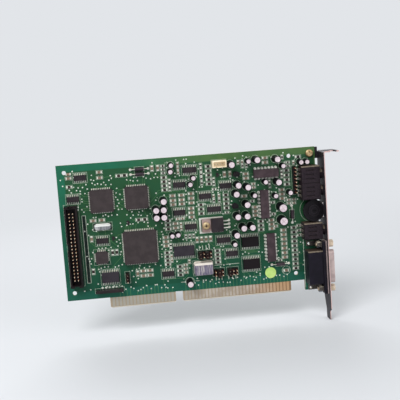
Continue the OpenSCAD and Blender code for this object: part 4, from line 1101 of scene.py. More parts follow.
class Frame:
    """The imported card, with the places of its pieces."""

    def __init__(self, nodes: dict[str, bpy.types.Object]) -> None:
        """Keeps the nodes' objects by name."""
        self.nodes = nodes

    @functools.cache
    def solids(self, node: str) -> list[Solid]:
        """Splits a node into its separate solids.

        Args:
            node: The node's name.

        Returns:
            The solids, from left to right.
        """
        mesh = self.nodes[node].data
        places = np.empty(len(mesh.vertices) * 3)
        mesh.vertices.foreach_get("co", places)
        places = places.reshape(-1, 3) / MM
        ends = np.empty(len(mesh.edges) * 2, np.int64)
        mesh.edges.foreach_get("vertices", ends)
        _, weld = np.unique(np.round(places * 1000).astype(np.int64), axis=0, return_inverse=True)
        weld = weld.reshape(-1)
        ends = weld[ends].reshape(-1, 2)
        label = np.arange(weld.max() + 1)
        while True:
            lowest = np.minimum(label[ends[:, 0]], label[ends[:, 1]])
            fresh = label.copy()
            np.minimum.at(fresh, ends[:, 0], lowest)
            np.minimum.at(fresh, ends[:, 1], lowest)
            fresh = fresh[fresh]
            if (fresh == label).all():
                break
            label = fresh
        found = []
        owner = label[weld]
        for one in np.unique(owner):
            part = places[owner == one]
            (left, front, foot), (right, _, top) = part.min(0), part.max(0)
            found.append(Solid(left, right, foot, top, front))
        return sorted(found, key=lambda s: (s.left, s.foot))

    def dress(self, finish: Finish, *names: str) -> None:
        """Puts a finish into the material slots of nodes.

        Args:
            finish: The finish.
            names: The nodes' names.
        """
        for name in names:
            node = self.nodes[name]
            node.data.materials.clear()
            node.data.materials.append(material_of(finish))
            LOG.info("%s: dressed in %s", name, finish.name)


@dataclass
class Package:
    """A chip's moulding with the leads round it."""

    body: Solid
    leads: list[Solid]

    def outward(self, lead: Solid) -> Flat:
        """Finds which way a lead points.

        Args:
            lead: The lead.

        Returns:
            The unit vector away from the moulding.
        """
        dx, dz = lead.centre[0] - self.body.centre[0], lead.centre[1] - self.body.centre[1]
        if abs(dx) / self.body.size[0] > abs(dz) / self.body.size[1]:
            return (math.copysign(1.0, dx), 0.0)
        return (0.0, math.copysign(1.0, dz))

    def footprint(self) -> Solid:
        """Boxes the moulding with its leads.

        Returns:
            The box.
        """
        every = [self.body, *self.leads]
        left, right = min(s.left for s in every), max(s.right for s in every)
        foot, top = min(s.foot for s in every), max(s.top for s in every)
        return Solid(left, right, foot, top, self.body.front)


def packages(frame: Frame, bodies: Iterable[str], leads: str, reach: float) -> list[Package]:
    """Groups leads with the mouldings that they come out of.

    Args:
        frame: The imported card.
        bodies: The mouldings' nodes.
        leads: The leads' node.
        reach: The widest gap between a moulding and its lead.

    Returns:
        The packages.
    """
    found = []
    for node in bodies:
        for body in frame.solids(node):
            own = [lead for lead in frame.solids(leads) if body.near(lead, reach)]
            found.append(Package(body, own))
    return found


Cell = tuple[int, int]
STEPS: tuple[Cell, ...] = ((1, 0), (1, 1), (0, 1), (-1, 1), (-1, 0), (-1, -1), (0, -1), (1, -1))


@dataclass
class Router:
    """Finds clear ways for the copper tracks over a square grid on one face of the board."""

    left: float
    foot: float
    columns: int
    rows: int
    pitch: float
    patience: int = 1500
    corner_cost: float = 0.7
    taken: set[Cell] = field(default_factory=set)

    def cell(self, place: Flat) -> Cell:
        """Finds the grid cell nearest to a place."""
        return (round((place[0] - self.left) / self.pitch), round((place[1] - self.foot) / self.pitch))

    def place(self, cell: Cell) -> Flat:
        """Finds the middle of a cell."""
        return (self.left + cell[0] * self.pitch, self.foot + cell[1] * self.pitch)

    def inside(self, cell: Cell) -> bool:
        """Tells whether a cell lies on the board."""
        return 0 <= cell[0] < self.columns and 0 <= cell[1] < self.rows

    def clear(self, cell: Cell, reach: int) -> bool:
        """Tells whether all cells within a reach of one are free."""
        span = range(-reach, reach + 1)
        return not any((cell[0] + i, cell[1] + j) in self.taken for i in span for j in span)

    def block(self, box: Solid, margin: float) -> None:
        """Keeps tracks out of a box.

        Args:
            box: The box.
            margin: How much further they stay away.
        """
        low = self.cell((box.left - margin, box.foot - margin))
        high = self.cell((box.right + margin, box.top + margin))
        columns, rows = range(low[0], high[0] + 1), range(low[1], high[1] + 1)
        self.taken.update((i, j) for i in columns for j in rows)

    def route(self, start: Flat, end: Flat) -> Optional[list[Flat]]:
        """Finds a way between two places and keeps it.

        Args:
            start: Where it starts.
            end: Where it ends.

        Returns:
            The way's corners, or nothing where there is no short one.
        """
        first, goal = self.cell(start), self.cell(end)
        if first == goal or not (self.inside(first) and self.inside(goal)):
            return None
        queue: list[tuple[float, int, Cell, int]] = [(0.0, 0, first, -1)]
        cost: dict[Cell, float] = {first: 0.0}
        came: dict[Cell, Cell] = {}
        count = 0
        while queue and count < self.patience:
            _, _, here, heading = heapq.heappop(queue)
            if here == goal:
                return self.keep(came, goal, start, end)
            count += 1
            for turn, (dx, dz) in enumerate(STEPS):
                step = (here[0] + dx, here[1] + dz)
                if not self.inside(step) or (step in self.taken and step != goal):
                    continue
                crossing = dx and dz
                beside = {(here[0] + dx, here[1]), (here[0], here[1] + dz)}
                if crossing and beside <= self.taken:
                    continue
                bend = 0 if heading in (-1, turn) else min((heading - turn) % 8, (turn - heading) % 8)
                if bend > 2:
                    continue
                spent = cost[here] + (math.sqrt(2) if crossing else 1.0) + bend * self.corner_cost
                if spent < cost.get(step, math.inf):
                    cost[step] = spent
                    came[step] = here
                    away = (abs(step[0] - goal[0]), abs(step[1] - goal[1]))
                    ahead = max(away) + (math.sqrt(2) - 1) * min(away)
                    heapq.heappush(queue, (spent + ahead, count * 8 + turn, step, turn))
        return None

    def keep(self, came: dict[Cell, Cell], goal: Cell, start: Flat, end: Flat) -> list[Flat]:
        """Walks a found way back, takes its cells and drops the points between its corners.

        Args:
            came: The cell before each cell.
            goal: The last cell.
            start: Where the way starts.
            end: Where it ends.

        Returns:
            The way's corners.
        """
        cells = [goal]
        while cells[-1] in came:
            cells.append(came[cells[-1]])
        cells.reverse()
        self.taken.update(cells)
        bends = [start]
        for before, here, after in zip(cells, cells[1:], cells[2:]):
            if (here[0] - before[0], here[1] - before[1]) != (after[0] - here[0], after[1] - here[1]):
                bends.append(self.place(here))
        bends.append(end)
        return bends


@dataclass
class Copperwork:
    """The board's tracks, vias and pads on both faces, with its contacts and solder joints."""

    track_w: float = 0.27
    track_h: float = 0.04
    pad_h: float = 0.06
    via_r: float = 0.47
    via_hole_r: float = 0.13
    via_h: float = 0.09
    joint_r: float = 1.0
    grid: float = 0.635
    left: float = -123.2
    foot: float = 9.2
    right: float = 62.0
    top: float = 105.6
    toe: float = 0.4
    longest_pad: float = 1.2
    pad_wider: float = 0.1
    rear_hole_r: float = 0.5
    front_hole_r: float = 0.3
    rear_wider: float = 0.15
    pad_margin: float = 0.1
    joint_margin: float = 0.5
    bolt_margin: float = 0.8
    stitches: int = 420
    stitch_margins: tuple[int, int, int] = (4, 6, 8)
    to_via: float = 0.62
    tries: int = 6
    ahead: Flat = (0.9, 5.5)
    aside: Flat = (-2.2, 2.2)
    front_reach: Flat = (3.0, 32.0)
    rear_reach: Flat = (6.0, 60.0)
    rear_patience: int = 2500
    land_w: float = 1.3
    land_margin: Flat = (1.9, 0.8)
    surface_parts: tuple[tuple[str, str, float], ...] = (
        ("large_j_lead_chip medium_j_lead_chips small_j_lead_chip", "j_leads", 0.4),
        ("narrow_flat_chips", "narrow_chip_leads", 0.4),
        ("wide_flat_chips", "wide_chip_leads", 0.4),
        ("chip_resistors chip_capacitors", "chip_ends", 0.1),
    )
    seed: int = 16
    vias: list[Flat] = field(default_factory=list)
    front: Router = field(init=False)
    rear: Router = field(init=False)
    sites: Router = field(init=False)

    def router(self) -> Router:
        """Returns an empty grid over the board."""
        columns, rows = (int(reach / self.grid) for reach in (self.right - self.left, self.top - self.foot))
        return Router(self.left, self.foot, columns, rows, self.grid)

    def __post_init__(self) -> None:
        """Lays a grid over each face for the tracks, and one for the vias."""
        self.front, self.rear, self.sites = (self.router() for _ in range(3))

    def keep_off(self, box: Solid, margin: float) -> None:
        """Keeps the tracks of both faces out of a box."""
        self.front.block(box, margin)
        self.rear.block(box, margin)

    def pad(self, package: Package, lead: Solid) -> tuple[Flat, Flat, Flat]:
        """Works out the pad under one lead.

        Args:
            package: The package.
            lead: The lead.

        Returns:
            The pad's middle, its size, and the middle of its outer end.
        """
        way = package.outward(lead)
        reach = min(lead.size[0] if way[0] else lead.size[1], self.longest_pad)
        width = (lead.size[1] if way[0] else lead.size[0]) + self.pad_wider
        tip = (
            lead.centre[0] + way[0] * (lead.size[0] / 2 + self.toe),
            lead.centre[1] + way[1] * (lead.size[1] / 2 + self.toe),
        )
        length = reach + self.toe
        middle = (tip[0] - way[0] * length / 2, tip[1] - way[1] * length / 2)
        size = (length, width) if way[0] else (width, length)
        return middle, size, tip

    def build(self, frame: Frame) -> None:
        """Dresses the contacts and joints, lays the pads and routes the tracks.

        Args:
            frame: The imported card.
        """
        frame.dress(BOARD, "circuit_board")
        frame.dress(CONTACT_GOLD, "main_bus_contacts", "extension_bus_contacts")
        frame.dress(SOLDER, "solder_joints")
        draw = random.Random(self.seed)
        joints = [joint.centre for joint in frame.solids("solder_joints")]
        starts = self.front_pads(frame, joints)
        rear = Sketch(Side.SOLDER)
        for joint in joints:
            rear.annulus(joint, (self.rear_hole_r, self.joint_r + self.rear_wider), self.pad_h)
        rear.build("solder_side_pads", SOLDER, "solder")
        self.front_tracks(frame, draw, starts)
        self.rear_tracks(draw, joints)
        for side in Side:
            self.via_rings(side)
        LOG.info("%d vias", len(self.vias))

    def front_pads(self, frame: Frame, joints: list[Flat]) -> list[tuple[Flat, Flat]]:
        """Lays the component side's pads and keeps tracks off them.

        Args:
            frame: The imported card.
            joints: The solder joints' places.

        Returns:
            Each pad's outer end and the way that it points.
        """
        pads = Sketch()
        starts = []
        for package in self.surface_packages(frame):
            for lead in package.leads:
                middle, size, tip = self.pad(package, lead)
                if over_hole(Solid.round_about(middle, size)):
                    continue
                pads.block(middle, size, 0, self.pad_h)
                starts.append((tip, package.outward(lead)))
                self.front.block(Solid.round_about(middle, size), self.pad_margin)
        for node in ("game_port_board_locks", "bracket_screw"):
            for solid in frame.solids(node):
                self.keep_off(solid, self.bolt_margin)
        for hole in hole_boxes():
            self.keep_off(hole, self.bolt_margin)
        for joint in joints:
            pads.annulus(joint, (self.front_hole_r, self.joint_r), self.pad_h)
            self.keep_off(Solid.round_about(joint, (0.0, 0.0)), self.joint_margin)
        tab, body = frame.solids("regulator_tab")[0], frame.solids("regulator_body")[0]
        left, right = tab.left - self.land_margin[0], body.right
        size = (right - left - self.land_w, tab.size[1] + 2 * self.land_margin[1] - self.land_w)
        middle = ((left + right) / 2, tab.centre[1])
        pads.frame(middle, size, self.land_w, self.pad_h)
        self.front.block(Solid.round_about(middle, size), self.land_w)
        pads.build("component_pads", TIN, "chip_leads")
        return starts

    def surface_packages(self, frame: Frame) -> list[Package]:
        """Finds every package that is soldered on the component face.

        Args:
            frame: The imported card.

        Returns:
            The packages.
        """
        found = []
        for bodies, leads, gap in self.surface_parts:
            found += packages(frame, bodies.split(), leads, gap)
        return found

    def add_via(self, draw: random.Random, start: Flat, way: Flat) -> Optional[Flat]:
        """Chooses a free place for a via in front of a pad.

        Args:
            draw: The random numbers.
            start: The pad's outer end.
            way: The way that the pad points.

        Returns:
            The via's place, or nothing where all tries were taken.
        """
        for _ in range(self.tries):
            ahead, aside = draw.uniform(*self.ahead), draw.uniform(*self.aside)
            place = (start[0] + way[0] * ahead + way[1] * aside, start[1] + way[1] * ahead + way[0] * aside)
            cell = self.front.cell(place)
            free = self.front.clear(cell, 1) and self.rear.clear(cell, 1) and self.sites.clear(cell, 2)
            if free and self.front.inside(cell):
                self.sites.taken.add(cell)
                return self.front.place(cell)
        return None

    def front_tracks(self, frame: Frame, draw: random.Random, starts: list[tuple[Flat, Flat]]) -> None:
        """Routes tracks from pads to new vias and to each other.

        Args:
            frame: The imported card.
            draw: The random numbers.
            starts: Each pad's outer end and the way that it points.
        """
        sketch = Sketch()
        order = list(starts)
        draw.shuffle(order)
        for start, way in order:
            if draw.random() < self.to_via:
                end = self.add_via(draw, start, way)
            else:
                other = draw.choice(order)[0]
                least, most = self.front_reach
                end = other if least < math.dist(start, other) < most else None
            path = self.front.route(start, end) if end else None
            if path is None:
                continue
            sketch.strip(path, self.track_w, self.track_h)
            if end not in [other for other, _ in starts]:
                self.vias.append(end)
                self.rear.taken.add(self.rear.cell(end))
        self.stitch(draw)
        self.contact_tails(frame, sketch)
        sketch.build("component_side_tracks", TRACK, "green_laminate")

    def stitch(self, draw: random.Random) -> None:
        """Scatters vias over what is left free of the board.

        Args:
            draw: The random numbers.
        """
        front, (sides, foot, top) = self.front, self.stitch_margins
        for _ in range(self.stitches):
            cell = (draw.randrange(sides, front.columns - sides), draw.randrange(foot, front.rows - top))
            if front.clear(cell, 2) and self.sites.clear(cell, 2):
                for grid in (front, self.rear, self.sites):
                    grid.taken.add(cell)
                self.vias.append(front.place(cell))

    def contact_tails(self, frame: Frame, sketch: Sketch) -> None:
        """Joins each contact of the long and the short tab to a track.

        Args:
            frame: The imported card.
            sketch: Where the tracks go.
        """
        draw = random.Random(self.seed + 1)
        for node in ("main_bus_contacts", "extension_bus_contacts"):
            for contact in (solid for solid in frame.solids(node) if solid.front < 0):
                x, rise = contact.centre[0], draw.choice((1.6, 2.6, 3.8, 5.2))
                cell = self.front.cell((x + draw.choice((-0.6, 0.0, 0.6)), self.foot + rise))
                if cell in self.front.taken:
                    continue
                end = self.front.place(cell)
                knee = (x, end[1] - abs(end[0] - x) - 0.3)
                sketch.strip([(x, contact.top - 0.1), knee, end], self.track_w * 1.4, self.track_h)
                self.front.taken.add(cell)
                self.vias.append(end)

    def rear_tracks(self, draw: random.Random, joints: list[Flat]) -> None:
        """Routes the solder side between vias and joints.

        Args:
            draw: The random numbers.
            joints: The solder joints' places.
        """
        sketch = Sketch(Side.SOLDER)
        ends = joints + self.vias
        draw.shuffle(ends)
        self.rear.patience = self.rear_patience
        least, most = self.rear_reach
        for start in ends:
            near = [end for end in ends if least < math.dist(start, end) < most]
            path = self.rear.route(start, draw.choice(near)) if near else None
            if path is not None:
                sketch.strip(path, self.track_w, self.track_h)
        sketch.build("solder_side_tracks", TRACK, "green_laminate")

    def via_rings(self, side: Side) -> None:
        """Builds the vias' rings and, in them, dark domes of painted shade that stand for the holes.

        Args:
            side: The face that they are on.
        """
        rings, holes = Sketch(side), Sketch(side)
        for via in self.vias:
            rings.annulus(via, (self.via_hole_r, self.via_r), self.via_h, 12)
            # Each hole is a dark dome of painted shade.
            holes.button(via, self.via_hole_r + 0.02, self.via_h * 0.4, 8)
        word = side.name.lower()
        rings.build(f"{word}_side_vias", SOLDER, "solder")
        holes.build(f"{word}_side_via_hole_shade", DARK_COATING, "green_laminate")


@dataclass
class Silkscreen:
    """White ink on the component face: outlines of the parts and plain marks, with no letters, and a dark
    sheet of painted shadow.

    The marks' places are measured from the last contact of the long tab and from the tab's line.
    """

    line: float = 0.17
    high: float = 0.055
    clearance: float = 0.4
    outline_most: float = 16.0
    small_most: float = 3.5
    plus_arm: float = 0.55
    origin: Flat = (-38.1, 7.9)
    upright_bars: tuple[tuple[float, float], ...] = (
        (-64.2, 29.0), (-61.8, 29.0), (-59.2, 29.0), (-56.9, 29.0),
        (-53.3, 5.5), (-51.2, 5.5), (-49.0, 5.5), (-43.9, 5.5), (-41.2, 5.5), (-38.6, 5.5),
    )
    bar: Flat = (0.55, 3.5)
    level_bars: tuple[tuple[float, float, float], ...] = (
        (-54.0, -48.2, 16.9), (-45.5, -35.5, 16.9), (-79.4, -76.6, 6.5), (-68.6, -65.8, 6.5),
    )
    rings: tuple[tuple[float, float, float], ...] = ((-72.6, 6.5, 3.2), (-0.5, 8.5, 3.2))
    wheel_arc: tuple[float, float, float] = (21.2, 52.4, 9.0)
    arc_turns: Flat = (68.0, 292.0)
    foot_line: tuple[float, float, float] = (13.5, -6.0, 43.0)
    # Middle of the painted shadow beside the drive header.
    painted_shadow_strip: Flat = (-145.9, 36.8)
    framed: tuple[tuple[str, float], ...] = (
        ("drive_header_housing", 1.6), ("header_bases", 1.2), ("audio_connector_housing", 1.0),
        ("crystal_base", 1.2), ("oscillator_can", 1.4), ("resistor_network", 1.2),
        ("axial_part_bodies", 0.9),
    )

    def on_board(self, x: float, z: float) -> Flat:
        """Finds the place that lies x and z from the last contact and from the tab's line."""
        return (x - self.origin[0], z + self.origin[1])

    def build(self, frame: Frame, copper: Copperwork) -> None:
        """Prints every outline.

        Args:
            frame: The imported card.
            copper: The copperwork, whose packages are outlined.
        """
        ink = Sketch()
        for package in copper.surface_packages(frame):
            if max(package.body.size) < self.outline_most:
                self.outline(ink, package, copper.toe)
        for node in ("small", "medium", "large"):
            for sleeve in frame.solids(f"{node}_capacitor_sleeves"):
                radius = sleeve.size[0] / 2 + 0.65
                ink.annulus(sleeve.centre, (radius - self.line, radius), self.high, 32)
                self.plus(ink, (sleeve.centre[0] - radius - 0.9, sleeve.centre[1] + radius * 0.7))
        for node, grow in self.framed:
            for solid in frame.solids(node):
                ink.frame(solid.centre, (solid.size[0] + grow, solid.size[1] + grow), self.line, self.high)
        self.board_marks(ink)
        ink.build("silkscreen", INK, "green_laminate")

    def outline(self, ink: Sketch, package: Package, toe: float) -> None:
        """Prints the outline of one package, closer in round a small one.

        Args:
            ink: Where it goes.
            package: The package.
            toe: How far its pads reach past its leads.
        """
        box = package.footprint()
        small = package.body.size[0] < self.small_most
        ends = 2 * (toe + self.clearance) - (0.1 if small else 0.0)
        sides = 0.9 if small else ends
        upright = small and box.size[1] > box.size[0]
        grow = (sides, ends) if upright else (ends, sides)
        size = (box.size[0] + grow[0], box.size[1] + grow[1])
        if not over_hole(Solid.round_about(box.centre, size)):
            ink.frame(box.centre, size, self.line, self.high)

    def plus(self, ink: Sketch, place: Flat) -> None:
        """Prints a plus sign.

        Args:
            ink: Where it goes.
            place: Its middle.
        """
        (x, z), arm = place, self.plus_arm
        ink.strip([(x - arm, z), (x + arm, z)], self.line, self.high)
        ink.strip([(x, z - arm), (x, z + arm)], self.line, self.high + 0.005)

    def board_marks(self, ink: Sketch) -> None:
        """Prints the marks that belong to the board itself, and lays a dark sheet of painted shadow beside
        the drive header.

        Args:
            ink: Where they go.
        """
        width, length = self.bar
        for x, low in self.upright_bars:
            ink.strip([self.on_board(x, low), self.on_board(x, low + length)], width, self.high)
        for left, right, z in self.level_bars:
            ink.strip([self.on_board(left, z), self.on_board(right, z)], 0.4, self.high)
        for x, z, radius in self.rings:
            ink.annulus(self.on_board(x, z), (radius - 0.2, radius), self.high, 48)
        x, z, radius = self.wheel_arc
        ink.strip(arc(self.on_board(x, z), radius, 36, self.arc_turns), 0.2, self.high)
        x, low, top = self.foot_line
        ink.strip([self.on_board(x, low), self.on_board(x, top)], 0.3, self.high)
        middle = self.on_board(*self.painted_shadow_strip)
        ink.frame(middle, (2.6, 49.5), 0.3, self.high)
        # A dark sheet of painted shadow, as cast by the drive header, inside the printed outline.
        bare = Sketch()
        bare.block(middle, (2.3, 49.2), 0.0, self.high * 0.4)
        bare.build("painted_shadow_strip", PAINTED_HEADER_SHADOW, "green_laminate")


@dataclass
class SubAssembly:
    """Pieces that are dressed together, to which a sub-assembly may add shapes of its own."""

    coats: tuple[tuple[Finish, str], ...] = ()

    def build(self, frame: Frame) -> None:
        """Dresses the pieces and adds the shapes.

        Args:
            frame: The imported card.
        """
        for finish, names in self.coats:
            frame.dress(finish, *names.split())
        self.shape(frame)

    def shape(self, frame: Frame) -> None:
        """Adds nothing where a sub-assembly has no shapes of its own."""


@dataclass
class Bracket(SubAssembly):
    """The folded steel bracket and its screw."""

    coats: tuple[tuple[Finish, str], ...] = ((BRACKET, "mounting_bracket"), (BRASS, "bracket_screw"))


@dataclass
class Jacks(SubAssembly):
    """The housings of the three jacks and their terminals."""

    coats: tuple[tuple[Finish, str], ...] = (
        (JACK_PLASTIC, "twin_jack_housing speaker_jack_housing"),
        (LOCK_TIN, "jack_terminals"),
    )


@dataclass
class VolumeControl(SubAssembly):
    """The volume wheel with the rings on its front, its shaft, its base and its terminals."""

    coats: tuple[tuple[Finish, str], ...] = (
        (WHEEL_PLASTIC, "volume_wheel volume_shaft"),
        (PHENOLIC, "volume_control_base"),
        (TIN, "volume_control_terminals"),
    )
    ring_radii: tuple[float, ...] = (1.9, 3.9)
    ring_w: float = 0.35
    stand_off: float = 0.14
    sink: float = 0.2
    facets: int = 48

    def shape(self, frame: Frame) -> None:
        """Builds the rings, which ride on the wheel.

        Args:
            frame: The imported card.
        """
        wheel = frame.solids("volume_wheel")[0]
        low, high = wheel.height - self.sink, wheel.height + self.stand_off
        sketch = Sketch()
        for radius in self.ring_radii:
            sketch.annulus(wheel.centre, (radius, radius + self.ring_w), high, self.facets, low)
        sketch.build("wheel_rings", WHEEL_RING_HIGHLIGHT, "wheel_plastic", WHEEL)


@dataclass
class GamePort(SubAssembly):
    """The 15 way connector: its moulding, shell, sockets, hex screws and board locks."""

    coats: tuple[tuple[Finish, str], ...] = (
        (PORT_PLASTIC, "game_port_housing"),
        (SHELL, "game_port_shell"),
        (SOCKET_GOLD, "game_port_sockets"),
        (HEX_PLATING, "game_port_screws"),
        (LOCK_TIN, "game_port_board_locks"),
    )


@dataclass
class Headers(SubAssembly):
    """The drive header, the jumpers and strips of pins, and the audio connector."""

    coats: tuple[tuple[Finish, str], ...] = (
        (HEADER_PLASTIC, "drive_header_housing header_bases"),
        (SHUNT_PLASTIC, "jumper_shunts"),
        (IVORY, "audio_connector_housing"),
        (TIN, "audio_connector_pins"),
    )
    tip_l: float = 1.1

    def shape(self, frame: Frame) -> None:
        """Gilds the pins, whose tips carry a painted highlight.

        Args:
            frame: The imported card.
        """
        for node in ("drive_header_pins", "header_pins"):
            tip = min(pin.front for pin in frame.solids(node))
            frame.dress(replace(PIN_GOLD, name=f"{node}_gold", tip_end=tip + self.tip_l), node)


@dataclass
class Chips(SubAssembly):
    """The square, flat and in-line chips and their leads."""

    coats: tuple[tuple[Finish, str], ...] = (
        (EPOXY, "large_j_lead_chip medium_j_lead_chips small_j_lead_chip"),
        (DARK_EPOXY, "narrow_flat_chips small_outline_transistors"),
        (WIDE_EPOXY, "wide_flat_chips"),
        (LINE_EPOXY, "in_line_chips"),
        (TIN, "j_leads narrow_chip_leads wide_chip_leads"),
        (LINE_TIN, "in_line_chip_leads"),
    )


@dataclass
class PowerAndClock(SubAssembly):
    """The voltage regulator with its screw, the crystal and the oscillator."""

    coats: tuple[tuple[Finish, str], ...] = (
        (DARK_EPOXY, "regulator_body"),
        (TAB_METAL, "regulator_tab"),
        (TIN, "regulator_leads"),
        (BRASS, "regulator_screw"),
        (DARK_COATING, "crystal_base"),
    )
    shoulder: float = 2.4
    crystal_shoulder: float = 0.5
    slot: Flat = (1.9, 0.45)
    slot_h: float = 0.012

    def shape(self, frame: Frame) -> None:
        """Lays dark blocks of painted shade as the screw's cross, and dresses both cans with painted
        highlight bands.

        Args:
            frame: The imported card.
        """
        screw = max(frame.solids("regulator_screw"), key=lambda solid: solid.height)
        # The cross is raised dark blocks of painted shade standing in for the recess.
        slots = Sketch()
        for size in (self.slot, self.slot[::-1]):
            slots.block(screw.centre, size, screw.height - 0.1, screw.height + self.slot_h)
        slots.build("regulator_screw_cross_shade", DARK_COATING, "yellow_steel")
        # Each can's painted highlight band starts at its shoulder line.
        crystal, can = frame.solids("crystal_can")[0], frame.solids("oscillator_can")[0]
        line = crystal.centre[1] + self.crystal_shoulder
        frame.dress(replace(CRYSTAL_CAN, shoulder=line), "crystal_can")
        frame.dress(replace(GREY_CAN, shoulder=can.top - self.shoulder), "oscillator_can")


@dataclass
class LeadedParts(SubAssembly):
    """The axial parts, the round transistors and the resistor network."""

    coats: tuple[tuple[Finish, str], ...] = (
        (LINE_COATING, "axial_part_bodies"),
        (TIN, "axial_part_leads"),
        (BLACK_EPOXY, "transistor_bodies"),
        (DARK_COATING, "resistor_network"),
    )
    dot_r: float = 0.8
    dot_h: float = 0.7
    dot_pitch: float = 2.54
    dots: int = 5

    def shape(self, frame: Frame) -> None:
        """Builds the bright joints along the network's upper side.

        Args:
            frame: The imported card.
        """
        network = max(frame.solids("resistor_network"), key=lambda solid: solid.size[0])
        sketch = Sketch()
        for i in range(self.dots):
            x = network.centre[0] + (i - (self.dots - 1) / 2) * self.dot_pitch
            sketch.button((x, network.top + self.dot_r * 1.1), self.dot_r, self.dot_h)
        sketch.build("network_joints", SOLDER, "solder")


@dataclass
class ChipParts(SubAssembly):
    """The chip resistors and capacitors, with the solder that climbs their ends."""

    coats: tuple[tuple[Finish, str], ...] = (
        (GLASS_CHIP, "chip_resistors"), (TAN_CERAMIC, "chip_capacitors"), (TIN, "chip_ends"),
    )
    foot: float = 0.05
    rise: float = 0.42
    run: float = 0.36
    inset: float = 0.12

    def shape(self, frame: Frame) -> None:
        """Lays a wedge of solder against each end.

        Args:
            frame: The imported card.
        """
        sketch = Sketch()
        for package in packages(frame, ["chip_resistors", "chip_capacitors"], "chip_ends", 0.1):
            for end in package.leads:
                if not over_hole(end):
                    self.wedge(sketch, end, package.outward(end))
        sketch.build("chip_fillets", SOLDER, "solder")

    def wedge(self, sketch: Sketch, end: Solid, way: Flat) -> None:
        """Lays one wedge.

        Args:
            sketch: Where it goes.
            end: The chip's end.
            way: The way that the end looks.
        """
        (x, z), (w, h) = end.centre, end.size
        along = h / 2 - self.inset if way[0] else w / 2 - self.inset
        face = (x + way[0] * w / 2, z + way[1] * h / 2)
        profile = ((0.0, self.foot), (1.0, self.foot), (0.3, self.rise * 0.35), (0.0, self.rise))
        rings = []
        for side in (-1, 1):
            base = (face[0] + side * along * abs(way[1]), face[1] + side * along * abs(way[0]))
            rings.append([
                sketch.at(base[0] + way[0] * self.run * share, base[1] + way[1] * self.run * share, height)
                for share, height in profile
            ])
        sketch.loft(rings)


@dataclass
class Capacitors(SubAssembly):
    """The capacitors, with the stripe and curled lip of each sleeve and the score marks of the large cans.
    """

    coats: tuple[tuple[Finish, str], ...] = (
        (SLEEVE, "small_capacitor_sleeves medium_capacitor_sleeves large_capacitor_sleeves"),
        (CAN_TOP, "small_capacitor_cans medium_capacitor_cans large_capacitor_cans"),
    )
    middle: float = -62.0
    half_stripe: float = 24.0
    half_sign: float = 11.0
    stand_off: float = 0.012
    lip_share: float = 0.14
    lip_h: float = 0.16
    lip_facets: int = 32
    score_w: float = 0.2
    score_h: float = 0.012

    def shape(self, frame: Frame) -> None:
        """Adds the stripes, the lips and the score marks.

        Args:
            frame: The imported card.
        """
        stripes, signs, lips, scores = Sketch(), Sketch(), Sketch(), Sketch()
        for word in ("small", "medium", "large"):
            for sleeve in frame.solids(f"{word}_capacitor_sleeves"):
                self.stripe(stripes, signs, sleeve)
                self.lip(lips, sleeve)
        for can in frame.solids("large_capacitor_cans"):
            self.score(scores, can)
        stripes.build("sleeve_stripes", STRIPE_INK, "black_sleeve")
        signs.build("sleeve_minus_signs", SLEEVE, "black_sleeve")
        lips.build("sleeve_lips", SLEEVE, "black_sleeve")
        scores.build("can_scores", CAN_SCORE, "capacitor_aluminium")

    def stripe(self, stripes: Sketch, signs: Sketch, sleeve: Solid) -> None:
        """Prints a stripe and its minus signs down one side of a sleeve.

        Args:
            stripes: Where the stripe goes.
            signs: Where the signs go.
            sleeve: The sleeve.
        """
        radius, off = sleeve.size[0] / 2, self.stand_off
        turns = (self.middle - self.half_stripe, self.middle + self.half_stripe)
        stripes.shell(sleeve.centre, radius, turns, (0.3, sleeve.height - 0.4), off)
        turns = (self.middle - self.half_sign, self.middle + self.half_sign)
        for share in (0.25, 0.5, 0.75):
            height = sleeve.height * share
            signs.shell(sleeve.centre, radius + off, turns, (height - 0.2, height + 0.2), off, 3)

    def lip(self, lips: Sketch, sleeve: Solid) -> None:
        """Curls the sleeve's end over the rim of the can.

        Args:
            lips: Where it goes.
            sleeve: The sleeve.
        """
        inner = 1 - self.lip_share
        profile = (
            (1.0, -0.1), (1.0, 0.05), (0.96, self.lip_h), (1 - self.lip_share * 0.6, self.lip_h),
            (inner, 0.0), (inner, -0.1),
        )
        radius, steps = sleeve.size[0] / 2, self.lip_facets
        circles = [arc(sleeve.centre, radius * share, steps) for share, _ in profile]
        rings = []
        for places in zip(*circles):
            rings.append([lips.at(*at, sleeve.height + rise) for at, (_, rise) in zip(places, profile)])
        lips.loft(rings, joined=True)

    def score(self, scores: Sketch, can: Solid) -> None:
        """Raises the vent's crossed score lines on a can's end.

        Args:
            scores: Where they go.
            can: The can.
        """
        arm = can.size[0] / 2 * 0.7
        for i, turn in enumerate((35.0, 125.0)):
            line = [arc(can.centre, arm, 1, (turn + half, turn))[0] for half in (180.0, 0.0)]
            scores.strip(line, self.score_w, can.height + self.score_h * (i + 1), low=can.height - 0.05)


@dataclass
class Sticker(SubAssembly):
    """The round inspection sticker."""

    coats: tuple[tuple[Finish, str], ...] = ((STICKER, "inspection_sticker"),)


